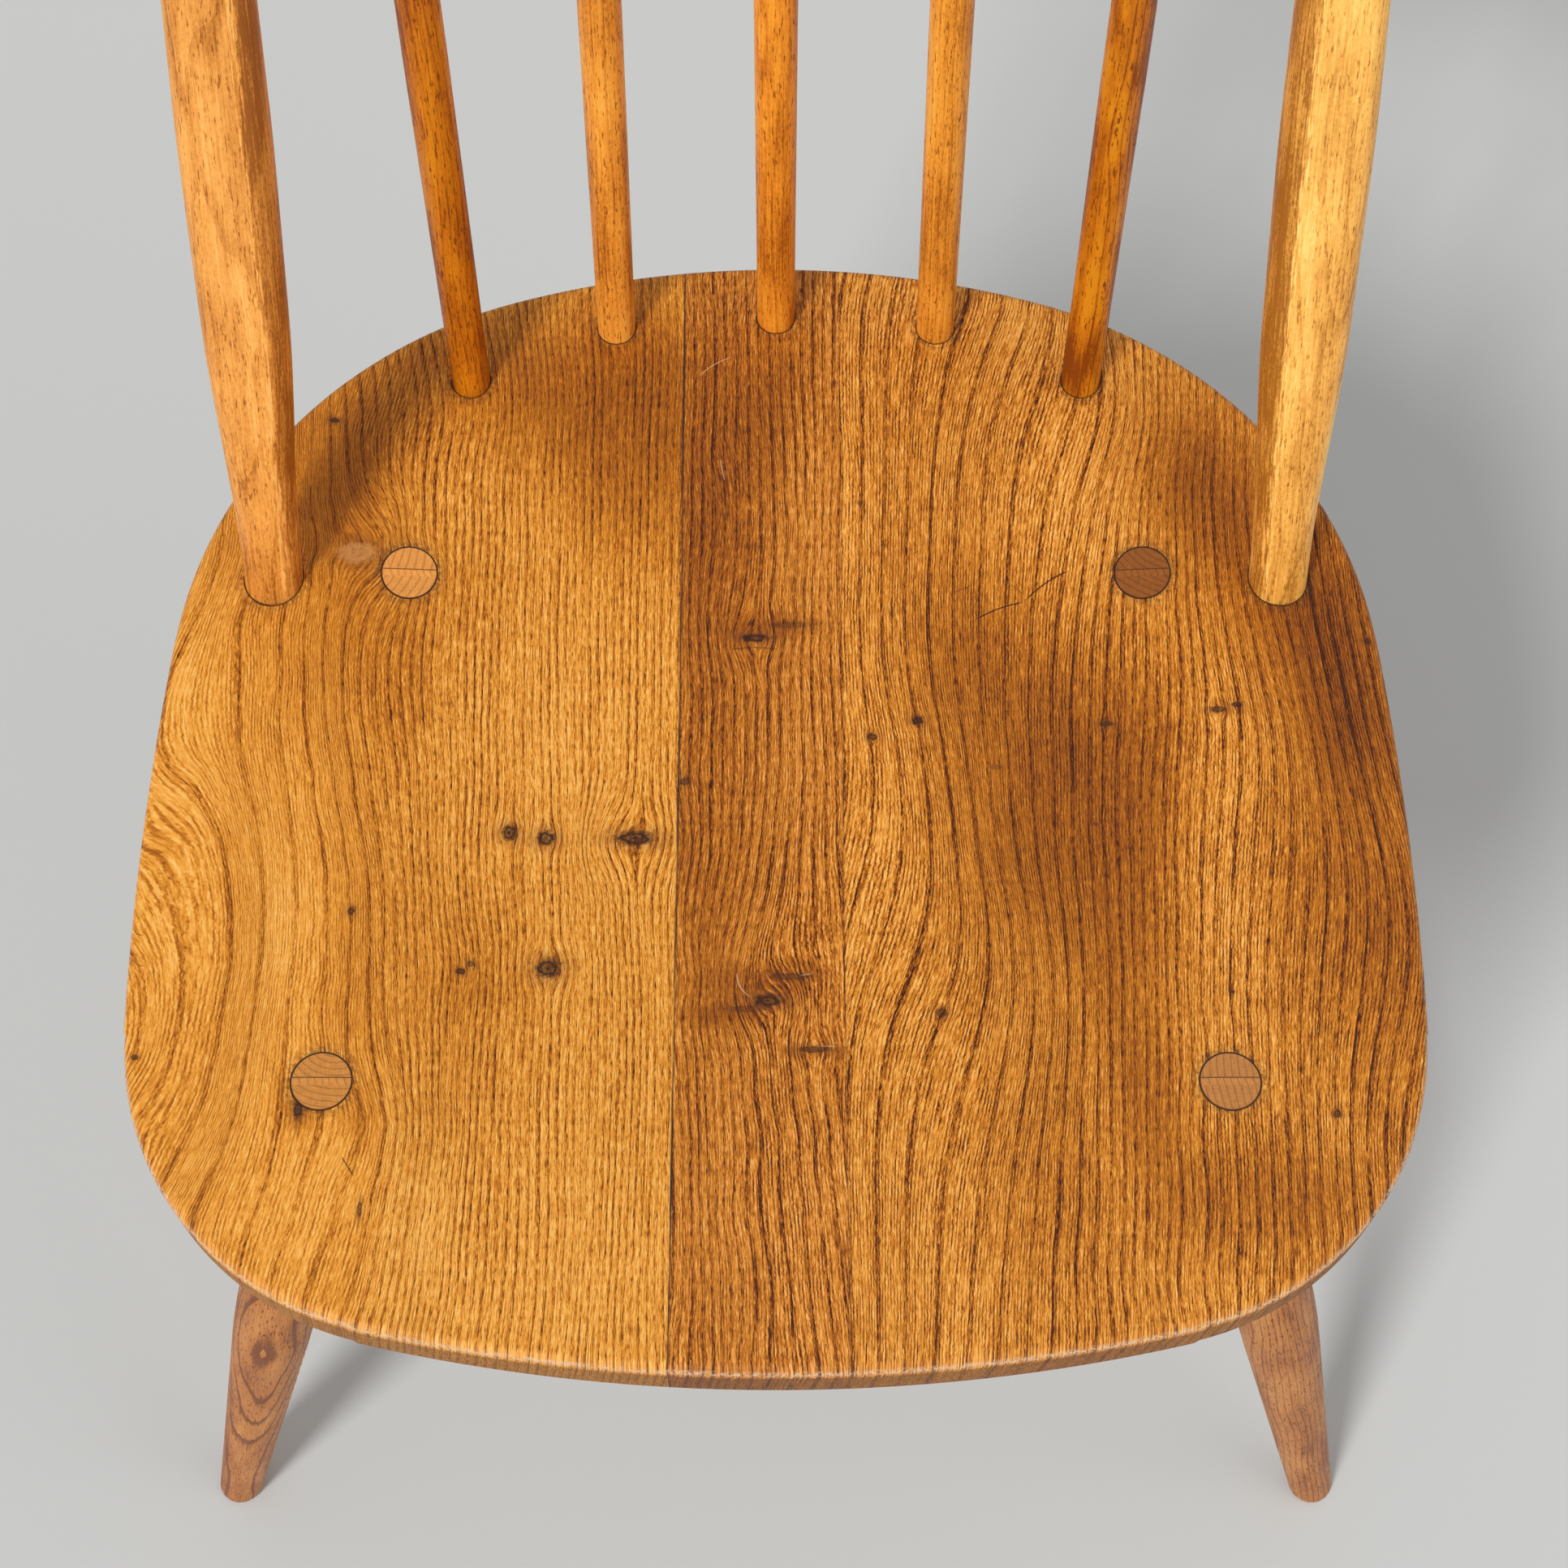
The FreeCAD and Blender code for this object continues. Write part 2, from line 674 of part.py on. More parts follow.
def trimBlock(name, width, depth, height, base):
    """A block of spare space that trims the pieces, centred on X and Y at a base height."""
    block = doc.addObject("Part::Box", name)
    bind(block, "Length", width)
    bind(block, "Width", depth)
    bind(block, "Height", height)
    bind(block, "Placement.Base.x", f"-({width}) / 2")
    bind(block, "Placement.Base.y", f"-({depth}) / 2")
    bind(block, "Placement.Base.z", base)
    return block


def makeUnderSeat(blank):
    """What lies below and beside the seat, which trims the posts' feet flush with its bevel."""
    room = trimBlock("under_seat_room", "2 * seat_width", "2 * seat_depth",
                     "seat_thickness + trim_height - trim_allowance",
                     "seat_height - seat_thickness - trim_height")
    return joined("Part::Cut", "under_seat", room, blank)


def makeUndercarriage(cutter):
    """Legs, wedges and stretchers; returns the holes for the leg tenons."""
    floor = trimBlock("floor_trim", "4 * seat_width", "4 * seat_depth", "trim_height", "-trim_height")
    sideShape = ("stretcher_end_radius", "side_tenon_stop", "leg_belly_radius")
    crossShape = ("cross_tenon_radius", "cross_tenon_stop", "stretcher_belly_radius")
    sideAxes = [[legPoint(legAxis(side, row), "stretcher_height") for row in ("front", "rear")]
                for _, side in hands]
    crossAxis = [between(*axis, "0.5") for axis in sideAxes]
    crossSockets = stretcherSockets("cross_stretcher", *crossAxis, *crossShape)
    makeStretcher("cross_stretcher", *crossAxis, *crossShape, [])
    holes = []
    for (hand, side), sideAxis, crossSocket in zip(hands, sideAxes, crossSockets):
        node = f"{hand}_side_stretcher"
        makeStretcher(node, *sideAxis, *sideShape, [crossSocket])
        legSockets = stretcherSockets(node, *sideAxis, *sideShape)
        for row, socket in zip(("front", "rear"), legSockets):
            axis = makeLeg(row, hand, side, cutter, floor, socket)
            length = spanOf(*axis)
            holes.append(rod(f"{row}_{hand}_leg_hole", "leg_tenon_radius + glue_gap", *axis,
                             f"{length} - 2 * seat_thickness", f"{length} + trim_allowance"))
    return holes


def makeBack(underSeat, crest):
    """Sticks, posts and pegs; returns the holes for them in the seat and in the crest rail."""
    seatHoles = []
    crestHoles = []
    crestRoom = trimBlock("crest_room", "2 * seat_width", "2 * seat_depth", "2 * crest_height",
                          "seat_height + crest_rise")
    # Each stick: its side of the middle, its spread and inset on the seat, its spread at the crest
    sticks = [
        ("-1", "outer_stick_spread", "outer_stick_from_back", "outer_top_spread"),
        ("-1", "inner_stick_spread", "inner_stick_from_back", "inner_top_spread"),
        ("0", "inner_stick_spread", "middle_stick_from_back", "0"),
        ("1", "inner_stick_spread", "inner_stick_from_back", "inner_top_spread"),
        ("1", "outer_stick_spread", "outer_stick_from_back", "outer_top_spread"),
    ]
    for number, (side, spread, inset, topSpread) in enumerate(sticks, start=1):
        foot = (f"({side} * {spread})", fromBack(inset), "seat_height")
        top = crestPoint(side, topSpread, "crest_socket_depth / 2")
        seatHole, crestHole = makeStick(f"stick_{number}", foot, top)
        seatHoles.append(seatHole)
        crestHoles.append(crestHole)
    for hand, side in hands:
        seatHole, crestHole, pegHole = makePost(hand, side, underSeat, crestRoom, crest)
        seatHoles.append(seatHole)
        crestHoles += [crestHole, pegHole]
    return seatHoles, crestHoles


def makeSeat(seat, holes):
    bores = doc.addObject("Part::Compound", "seat_bores")
    bores.Links = holes
    edge = "(seat_width / 2 + trim_allowance)"
    boards = [
        ("seat_board_left", f"-{edge}", "-left_joint_offset"),
        ("seat_board_middle", "-left_joint_offset", "right_joint_offset"),
        ("seat_board_right", "right_joint_offset", edge),
    ]
    for node, start, end in boards:
        keep(cutBy(node, board(node, seat, start, end), [bores]), node)


def checkModel():
    """Stop if any feature has failed or any sub-part isn't one sound solid."""
    failed = [item.Name for item in doc.Objects if {"Invalid", "Error"} & set(item.State)]
    for item in pieces:
        shape = item.Shape
        if shape.isNull() or not shape.isValid() or len(shape.Solids) != 1:
            failed.append(item.Label)
    if failed:
        raise RuntimeError("failed: " + ", ".join(failed))


def writeParts():
    os.makedirs("parts", exist_ok=True)
    for item in pieces:
        item.Shape.exportStep(f"parts/{item.Label}.step")
        print(f"{item.Label}: {item.Shape.Volume / 1000:.2f} cm3")


def makeChair():
    cutter = carvingCutter()
    seat = shapedSeat(cutter)
    legHoles = makeUndercarriage(cutter)
    crest = shapedCrest()
    backHoles, crestHoles = makeBack(makeUnderSeat(doc.seat_blank), crest)
    makeSeat(seat, legHoles + backHoles)
    keep(cutBy("crest_rail", crest, crestHoles), "crest_rail")
    doc.recompute()
    checkModel()
    writeParts()


makeChair()
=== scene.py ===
import math

import bmesh
import bpy
import numpy as np
from mathutils import Matrix, Vector, geometry


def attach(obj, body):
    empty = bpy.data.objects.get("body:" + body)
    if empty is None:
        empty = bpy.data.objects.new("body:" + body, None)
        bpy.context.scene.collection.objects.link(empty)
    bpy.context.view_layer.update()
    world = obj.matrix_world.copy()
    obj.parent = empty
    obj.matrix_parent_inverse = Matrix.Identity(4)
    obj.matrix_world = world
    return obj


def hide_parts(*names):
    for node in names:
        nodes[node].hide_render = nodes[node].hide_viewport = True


# Stick-back chair with an elm seat and a beech back and legs, metres, +Z up, front towards -Y.
# A depth is measured on the seat from its front edge.

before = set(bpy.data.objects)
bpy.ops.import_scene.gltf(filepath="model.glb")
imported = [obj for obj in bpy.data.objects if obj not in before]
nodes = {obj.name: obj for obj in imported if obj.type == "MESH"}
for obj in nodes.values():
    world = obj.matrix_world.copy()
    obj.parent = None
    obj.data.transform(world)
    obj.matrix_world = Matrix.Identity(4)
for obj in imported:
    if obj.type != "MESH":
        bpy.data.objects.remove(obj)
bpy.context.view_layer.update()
scene = bpy.context.scene
print("frame loaded")

photoSize = 1932                 # pixels
filmWidth = 36                   # millimetres

studio = {
    "cameraPlace": (0, -0.4124, 1.2641),
    "cameraTilt": 24.4,          # degrees up from looking straight down
    "lens": 63.35,
    "shift": 0.0052,
    "floor": (0.60, 0.61, 0.60),
    "floorSize": 60,
    "floorDrop": 0.0005,
    "sky": 0.46,
    "key": {"kind": "SUN", "place": (-1.05, -1.40, 2.4), "aim": (0, 0, 0.45), "angle": 13, "power": 2.0},
    "fill": {"kind": "AREA", "place": (1.8, -0.9, 1.7), "aim": (0, 0, 0.4), "size": 2.0, "power": 9},
}


def makeStudio(look):
    camera = bpy.data.objects.new("camera", bpy.data.cameras.new("camera"))
    camera.location = look["cameraPlace"]
    camera.rotation_euler = (math.radians(look["cameraTilt"]), 0, 0)
    camera.data.lens = look["lens"]
    camera.data.shift_x = look["shift"]
    scene.collection.objects.link(camera)
    scene.camera = camera

    bpy.ops.mesh.primitive_grid_add(size=look["floorSize"], x_subdivisions=2, y_subdivisions=2)
    floor = bpy.context.object
    floor.name = "floor"
    floor.location.z = -look["floorDrop"]
    paint = bpy.data.materials.new("floor")
    paint.use_nodes = True
    shader = paint.node_tree.nodes["Principled BSDF"]
    shader.inputs["Base Color"].default_value = (*look["floor"], 1)
    shader.inputs["Roughness"].default_value = 0.9
    floor.data.materials.append(paint)

    for name in ("key", "fill"):
        spot = look[name]
        lamp = bpy.data.objects.new(name, bpy.data.lights.new(name, spot["kind"]))
        if spot["kind"] == "SUN":
            lamp.data.angle = math.radians(spot["angle"])
        else:
            lamp.data.shape = "DISK"
            lamp.data.size = spot["size"]
        lamp.data.energy = spot["power"]
        lamp.location = spot["place"]
        aim = Vector(spot["aim"]) - lamp.location
        lamp.rotation_euler = aim.to_track_quat("-Z", "Y").to_euler()
        scene.collection.objects.link(lamp)

    world = bpy.data.worlds.new("studio")
    world.use_nodes = True
    world.node_tree.nodes["Background"].inputs["Color"].default_value = (1, 1, 1, 1)
    world.node_tree.nodes["Background"].inputs["Strength"].default_value = look["sky"]
    scene.world = world
    scene.view_settings.view_transform = "Standard"


makeStudio(studio)
print("studio set")


# A mesh object with smooth faces, sharp only where they turn by more than an angle in degrees
def solidMesh(name, points, faces, sharpAngle=35):
    mesh = bpy.data.meshes.new(name)
    mesh.from_pydata([tuple(point) for point in points], [], faces)
    work = bmesh.new()
    work.from_mesh(mesh)
    bmesh.ops.remove_doubles(work, verts=work.verts, dist=1e-6)
    bmesh.ops.recalc_face_normals(work, faces=work.faces)
    work.to_mesh(mesh)
    work.free()
    piece = bpy.data.objects.new(name, mesh)
    scene.collection.objects.link(piece)
    softShade(mesh, sharpAngle)
    return piece


def softShade(mesh, sharpAngle):
    mesh.shade_smooth()
    mesh.set_sharp_from_angle(angle=math.radians(sharpAngle))


def pointsOf(mesh):
    flat = np.empty(len(mesh.vertices) * 3)
    mesh.vertices.foreach_get("co", flat)
    return flat.reshape(-1, 3)


def paintOn(mesh, name, values):
    layer = mesh.attributes.new(name, "FLOAT", "POINT")
    layer.data.foreach_set("value", np.asarray(values, dtype=np.float32))


# The turn that stands a piece's own Z on the line from low to high, as the frame has it
def axisFrame(low, high):
    low, high = Vector(low), Vector(high)
    turn = Vector((0, 0, 1)).rotation_difference(high - low).to_matrix()
    return low, turn, (high - low).length


seat = {
    "front": -0.23099,           # Y of the front edge
    "top": 0.432,
    "thick": 0.038,
    "depth": 0.402,
    # outline arcs from the front edge round to the back: centre across, centre depth, radius
    "arcs": [(0, 0.588, 0.588), (0.1078, 0.1126, 0.100), (-0.905, 0.150, 1.114),
             (0.0469, 0.2368, 0.158), (0, 0.087, 0.315)],
    "arcSteps": (60, 70, 110, 60, 50),
    "joints": (-0.0326, 0.0224),
    "rimRound": 0.0035,
    "bevel": (0.026, 0.015),
    "bevelRound": 0.005,
    "dish": {"deep": 0.009, "wide": 0.176, "long": 0.168, "depth": 0.205},
    "thigh": {"deep": 0.0025, "across": 0.100, "depth": 0.150, "wide": 0.042, "long": 0.095},
    "weave": 0.0017,             # spacing of the top's mesh points
    "underWeave": 0.008,
    "edgeSteps": 33,             # points of the middle board's front and back edges
    "rimSteps": 7,
    "sharpAngle": 35,
    "bevelSteps": 6,
    "jointSteps": (220, 40),     # of the top and the underside
}


def seatHeight(across, depth):
    dish, thigh = seat["dish"], seat["thigh"]
    reach = (across / dish["wide"]) ** 2 + ((depth - dish["depth"]) / dish["long"]) ** 2
    hollow = dish["deep"] * np.maximum(0, 1 - reach) ** 2
    spot = ((depth - thigh["depth"]) / thigh["long"]) ** 2
    spot = spot + ((np.abs(across) - thigh["across"]) / thigh["wide"]) ** 2
    return seat["top"] - hollow - thigh["deep"] * np.exp(-spot)


# The angle, on each arc, at which it runs into the next one
def meetingAngles():
    arcs = seat["arcs"]
    meets = []
    for (x0, d0, r0), (x1, d1, r1) in zip(arcs, arcs[1:]):
        way = 1 if r0 > r1 else -1
        meets.append(math.atan2(way * (d1 - d0), way * (x1 - x0)))
    return meets


arcMeets = meetingAngles()


# The outline from the joint's front end round the right side to its back end
def sideRun(inset, joint):
    arcs = seat["arcs"]
    starts = [-math.acos(joint / (arcs[0][2] - inset))] + arcMeets
    ends = arcMeets + [math.acos(joint / (arcs[-1][2] - inset))]
    run = []
    for (x, d, r), start, end, steps in zip(arcs, starts, ends, seat["arcSteps"]):
        angles = np.linspace(start, end, steps + 1)
        spots = np.stack([x + (r - inset) * np.cos(angles), d + (r - inset) * np.sin(angles)], 1)
        run.append(spots if not run else spots[1:])
    return np.concatenate(run)


# The stretch of the front or the back edge between two joints
def acrossRun(inset, left, right, arc):
    x, d, r = seat["arcs"][arc]
    way = -1 if arc == 0 else 1
    across = np.linspace(left, right, seat["edgeSteps"])
    return np.stack([across, d + way * np.sqrt((r - inset) ** 2 - across ** 2)], 1)


# How far places on the seat lie inside its outline
def insetAt(across, depth):
    across = np.abs(across)
    starts = [-math.pi / 2] + arcMeets
    ends = arcMeets + [math.pi / 2]
    least = np.full(np.shape(across), 1.0)
    for (x, d, r), start, end in zip(seat["arcs"], starts, ends):
        angle = np.arctan2(depth - d, across - x)
        inSector = (angle >= start - 1e-9) & (angle <= end + 1e-9)
        least = np.where(inSector, np.minimum(least, r - np.hypot(across - x, depth - d)), least)
    return least


# The seat's edge from its top to its underside: inset and drop below the top
def edgeProfile():
    r = seat["rimRound"]
    steps = [(r * (1 - math.sin(a)), r * (1 - math.cos(a)))
             for a in np.linspace(0, math.pi / 2, seat["rimSteps"])]
    width, height = seat["bevel"]
    turn = math.atan2(width, height)
    soft = seat["bevelRound"]
    reach = soft * math.tan(turn / 2)
    wallEnd = seat["thick"] - height
    for a in np.linspace(0, turn, seat["bevelSteps"]):
        steps.append((soft * (1 - math.cos(a)), wallEnd - reach + soft * math.sin(a)))
    steps.append((width, seat["thick"]))
    return steps


# One board of the seat, between two joints or from a joint to the seat's side
def boardMesh(name, left, right):
    profile = edgeProfile()
    points = []
    faces = []

    def addPoint(across, depth, height):
        points.append((across, depth + seat["front"], height))
        return len(points) - 1

    def runsAt(inset):
        if right is None:
            return [sideRun(inset, left)]
        if left is None:
            return [sideRun(inset, -right)[::-1] * (-1, 1)]
        return [acrossRun(inset, left, right, 0), acrossRun(inset, left, right, -1)[::-1]]

    # The skirt: every step of the edge's profile along every run of the outline
    grids = []
    for step, (inset, drop) in enumerate(profile):
        for number, run in enumerate(runsAt(inset)):
            base = seat["top"] - drop
            row = [addPoint(a, d, base) for a, d in run]
            if step == 0:
                grids.append([])
            grids[number].append(row)
    for grid in grids:
        for upper, lower in zip(grid, grid[1:]):
            for i in range(len(upper) - 1):
                faces.append((upper[i], upper[i + 1], lower[i + 1], lower[i]))

    # The joints: straight lines along the top and the underside, closed by flat faces
    def jointLine(start, end, count, under):
        rows = []
        a0, y0, _ = points[start]
        y1 = points[end][1]
        for share in np.linspace(0, 1, count + 1)[1:-1]:
            depth = y0 + (y1 - y0) * share - seat["front"]
            height = seat["top"] - seat["thick"] if under else float(seatHeight(a0, depth))
            rows.append(addPoint(a0, depth, height))
        return [start] + rows + [end]

    topSteps, underSteps = seat["jointSteps"]
    topLoop = []
    bottomLoop = []
    for number, grid in enumerate(grids):
        onward = grids[(number + 1) % len(grids)]
        topJoint = jointLine(grid[0][-1], onward[0][0], topSteps, False)
        bottomJoint = jointLine(grid[-1][-1], onward[-1][0], underSteps, True)
        topLoop += grid[0] + topJoint[1:-1]
        bottomLoop += grid[-1] + bottomJoint[1:-1]
        frontEdge = [row[0] for row in onward[1:-1]]
        backEdge = [row[-1] for row in grid[1:-1]]
        faces.append(topJoint + frontEdge + bottomJoint[::-1] + backEdge[::-1])

    # The top and the underside, filled with an even net of points
    rowShare = 0.866             # rows of a net of even triangles
    rimSpace, jointSpace = 0.7, 0.6

    def fill(loop, spacing, margin, height):
        border = [(points[i][0], points[i][1] - seat["front"]) for i in loop]
        across = np.array([a for a, _ in border])
        rows = np.arange(0, seat["depth"], spacing * rowShare)
        columns = np.arange(across.min(), across.max(), spacing)
        a, d = np.meshgrid(columns, rows)
        a = a + (np.arange(len(rows)) % 2 * spacing / 2)[:, None]
        a, d = a.ravel(), d.ravel()
        inside = insetAt(a, d) > margin + spacing * rimSpace
        for joint in (left, right):
            if joint is not None:
                inside &= np.abs(a - joint) > spacing * jointSpace
        inside &= (a > across.min()) & (a < across.max())
        inner = list(zip(a[inside], d[inside]))
        ring = [(i, (i + 1) % len(border)) for i in range(len(border))]
        spots, _, tris, _, _, _ = geometry.delaunay_2d_cdt(border + inner, ring, [], 1, 1e-9)
        places = list(loop)
        for spot in spots[len(border):]:
            places.append(addPoint(spot.x, spot.y, height(spot.x, spot.y)))
        faces.extend(tuple(places[i] for i in tri) for tri in tris)

    fill(topLoop, seat["weave"], profile[0][0], lambda a, d: float(seatHeight(a, d)))
    fill(bottomLoop, seat["underWeave"], profile[-1][0], lambda a, d: seat["top"] - seat["thick"])
    return solidMesh(name, points, faces)


def frontDepth(depth):
    return depth + seat["front"]


legs = {
    "front_left_leg": ((-0.241, frontDepth(0.046), 0), (-0.1435, frontDepth(0.0933), 0.432)),
    "front_right_leg": ((0.241, frontDepth(0.046), 0), (0.1435, frontDepth(0.0933), 0.432)),
    "rear_left_leg": ((-0.205, frontDepth(0.410), 0), (-0.1257, frontDepth(0.276), 0.432)),
    "rear_right_leg": ((0.205, frontDepth(0.410), 0), (0.1257, frontDepth(0.276), 0.432)),
}
sticks = {
    "stick_1": ((-0.108, frontDepth(0.353), 0.432), (-0.111, 0.18191, 0.739)),
    "stick_2": ((-0.057, frontDepth(0.3755), 0.432), (-0.054, 0.20077, 0.739)),
    "stick_3": ((0, frontDepth(0.380), 0.432), (0, 0.20635, 0.739)),
    "stick_4": ((0.057, frontDepth(0.3755), 0.432), (0.054, 0.20077, 0.739)),
    "stick_5": ((0.108, frontDepth(0.353), 0.432), (0.111, 0.18191, 0.739)),
}
posts = {
    "left_post": ((-0.172, frontDepth(0.2736), 0.432), (-0.157, 0.15574, 0.743)),
    "right_post": ((0.172, frontDepth(0.2736), 0.432), (0.157, 0.15574, 0.743)),
}
stretchers = {
    "left_side_stretcher": ((-0.20083, -0.16550, 0.178), (-0.17232, 0.12380, 0.178)),
    "right_side_stretcher": ((0.20083, -0.16550, 0.178), (0.17232, 0.12380, 0.178)),
    "cross_stretcher": ((-0.18658, -0.02085, 0.178), (0.18658, -0.02085, 0.178)),
}
holes = {"leg": 0.0095, "stick": 0.0068, "post": 0.0100, "stickDeep": 0.0243, "above": 0.02, "below": 0.06,
         "segments": 72}


# One object of round plugs, where legs, sticks and posts enter the seat
def holeCutters():
    above, below = holes["above"], holes["below"]
    plugs = []
    for foot, top in legs.values():
        plugs.append((top, foot, holes["leg"], -above, below))
    for foot, top in posts.values():
        plugs.append((foot, top, holes["post"], -below, above))
    for foot, top in sticks.values():
        plugs.append((foot, top, holes["stick"], -holes["stickDeep"], above))
    work = bmesh.new()
    for low, high, radius, start, end in plugs:
        place, turn, _ = axisFrame(low, high)
        middle = place + turn @ Vector((0, 0, (start + end) / 2))
        stand = Matrix.Translation(middle) @ turn.to_4x4()
        bmesh.ops.create_cone(work, cap_ends=True, segments=holes["segments"], radius1=radius,
                              radius2=radius, depth=end - start, matrix=stand)
    mesh = bpy.data.meshes.new("holes")
    work.to_mesh(mesh)
    work.free()
    cutter = bpy.data.objects.new("holes", mesh)
    scene.collection.objects.link(cutter)
    return cutter


def boreHoles(board, cutter):
    bore = board.modifiers.new("bore", "BOOLEAN")
    bore.operation = "DIFFERENCE"
    bore.solver = "MANIFOLD"
    bore.object = cutter
    whole = bpy.data.meshes.new_from_object(board.evaluated_get(bpy.context.evaluated_depsgraph_get()))
    board.modifiers.clear()
    board.data = whole
    softShade(whole, seat["sharpAngle"])


# How far points lie from a line
def axisDistance(spots, low, high):
    low, high = np.array(low), np.array(high)
    way = (high - low) / np.linalg.norm(high - low)
    off = spots - low
    return np.linalg.norm(off - np.outer(off @ way, way), axis=1)


def makeSeat():
    cutter = holeCutters()
    left, right = seat["joints"]
    boards = []
    for node, start, end in (("seat_board_left", None, left), ("seat_board_middle", left, right),
                             ("seat_board_right", right, None)):
        board = boardMesh("elm_" + node, start, end)
        boreHoles(board, cutter)
        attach(board, "root")
        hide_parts(node)
        boards.append(board)
        print(node, len(board.data.vertices), "points")
    bpy.data.objects.remove(cutter)
    return boards


boards = makeSeat()
print("seat boards made")


post = {
    "stations": [(0.024, 0.0099), (0.096, 0.0137), (0.175, 0.0143)],   # up the post, radius
    "foot": 0.0099,
    "neck": 0.0112,
    "flat": 0.0106,
    "arris": 0.0016,
    "tenon": 0.006,
    "railUnder": 0.728,
    "tenonLong": 0.030,
    "segments": 72,
    "ease": 0.014,               # how far each bend of the outline is softened, up and down
    "easeSteps": 9,
    "start": -0.1,               # first height of the outline, under the seat
    "under": -0.04,              # the height whose section the scribed foot has
    "lowest": -0.024,
    "highest": 0.022,            # below the axis's end
    "ringStep": 0.004,
    "sharpAngle": 40,
    "fitTries": 12,
}


# The post's radius, eased through its stations
def postRadius(height, length):
    stations = [(post["start"], post["foot"])] + post["stations"] + [(length + 0.02, post["neck"])]
    ease = np.linspace(-post["ease"], post["ease"], post["easeSteps"])
    spots = np.array([spot for spot, _ in stations])
    radii = np.array([radius for _, radius in stations])
    return float(np.mean(np.interp(height + ease, spots, radii)))


# The height of the seat's underside
def underSeat(across, depth):
    width, height = seat["bevel"]
    rise = max(0.0, (width - float(insetAt(across, depth))) * height / width)
    return seat["top"] - seat["thick"] + rise


def makePost(node, foot, top):
    place, turn, length = axisFrame(foot, top)
    count = post["segments"]
    angles = [2 * math.pi * i / count for i in range(count)]
    points = []
    faces = []

    # One round or flatted section, as offsets from the axis
    def section(height):
        radius = postRadius(height, length)
        ring = []
        for a in angles:
            x, y = radius * math.cos(a), radius * math.sin(a)
            over = (abs(y) - post["flat"]) / post["arris"]
            cut = abs(y) - post["arris"] * (math.log1p(math.exp(over)) if over < 20 else over)
            ring.append((x, math.copysign(max(cut, 0), y)))
        return ring

    def addRing(spots):
        start = len(points)
        points.extend(spots)
        return list(range(start, start + count))

    def bridge(low, high):
        for i in range(count):
            j = (i + 1) % count
            faces.append((low[i], low[j], high[j], high[i]))

    def at(x, y, z):
        return place + turn @ Vector((x, y, z))

    def untilUnder(x, y):
        z = -seat["thick"]
        for _ in range(post["fitTries"]):
            spot = at(x, y, z)
            z += underSeat(spot.x, spot.y - seat["front"]) - spot.z
        return at(x, y, z)

    def untilRail(x, y):
        spot = at(x, y, length)
        way = turn @ Vector((0, 0, 1))
        return spot + way * ((post["railUnder"] - spot.z) / way.z)

    footRing = section(post["under"])
    rings = [addRing([untilUnder(x * s, y * s) for x, y in footRing]) for s in (0.25, 0.6, 0.9, 1)]
    for height in np.arange(post["lowest"], length - post["highest"], post["ringStep"]):
        rings.append(addRing([at(x, y, height) for x, y in section(height)]))
    rings.append(addRing([untilRail(x, y) for x, y in section(length)]))
    small = [(post["tenon"] * math.cos(a), post["tenon"] * math.sin(a)) for a in angles]
    rings.append(addRing([untilRail(x, y) for x, y in small]))
    tenonEnd = length + post["tenonLong"] / 2
    rings.append(addRing([at(x, y, tenonEnd) for x, y in small]))
    for low, high in zip(rings, rings[1:]):
        bridge(low, high)
    for ring, z in ((rings[0], None), (rings[-1], tenonEnd)):
        hub = len(points)
        points.append(untilUnder(0, 0) if z is None else at(0, 0, z))
        for i in range(count):
            faces.append((ring[i], ring[(i + 1) % count], hub))
    piece = solidMesh("beech_" + node, points, faces, post["sharpAngle"])
    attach(piece, "root")
    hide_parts(node)
    return piece


postPieces = {node: makePost(node, *axis) for node, axis in posts.items()}
print("posts made")


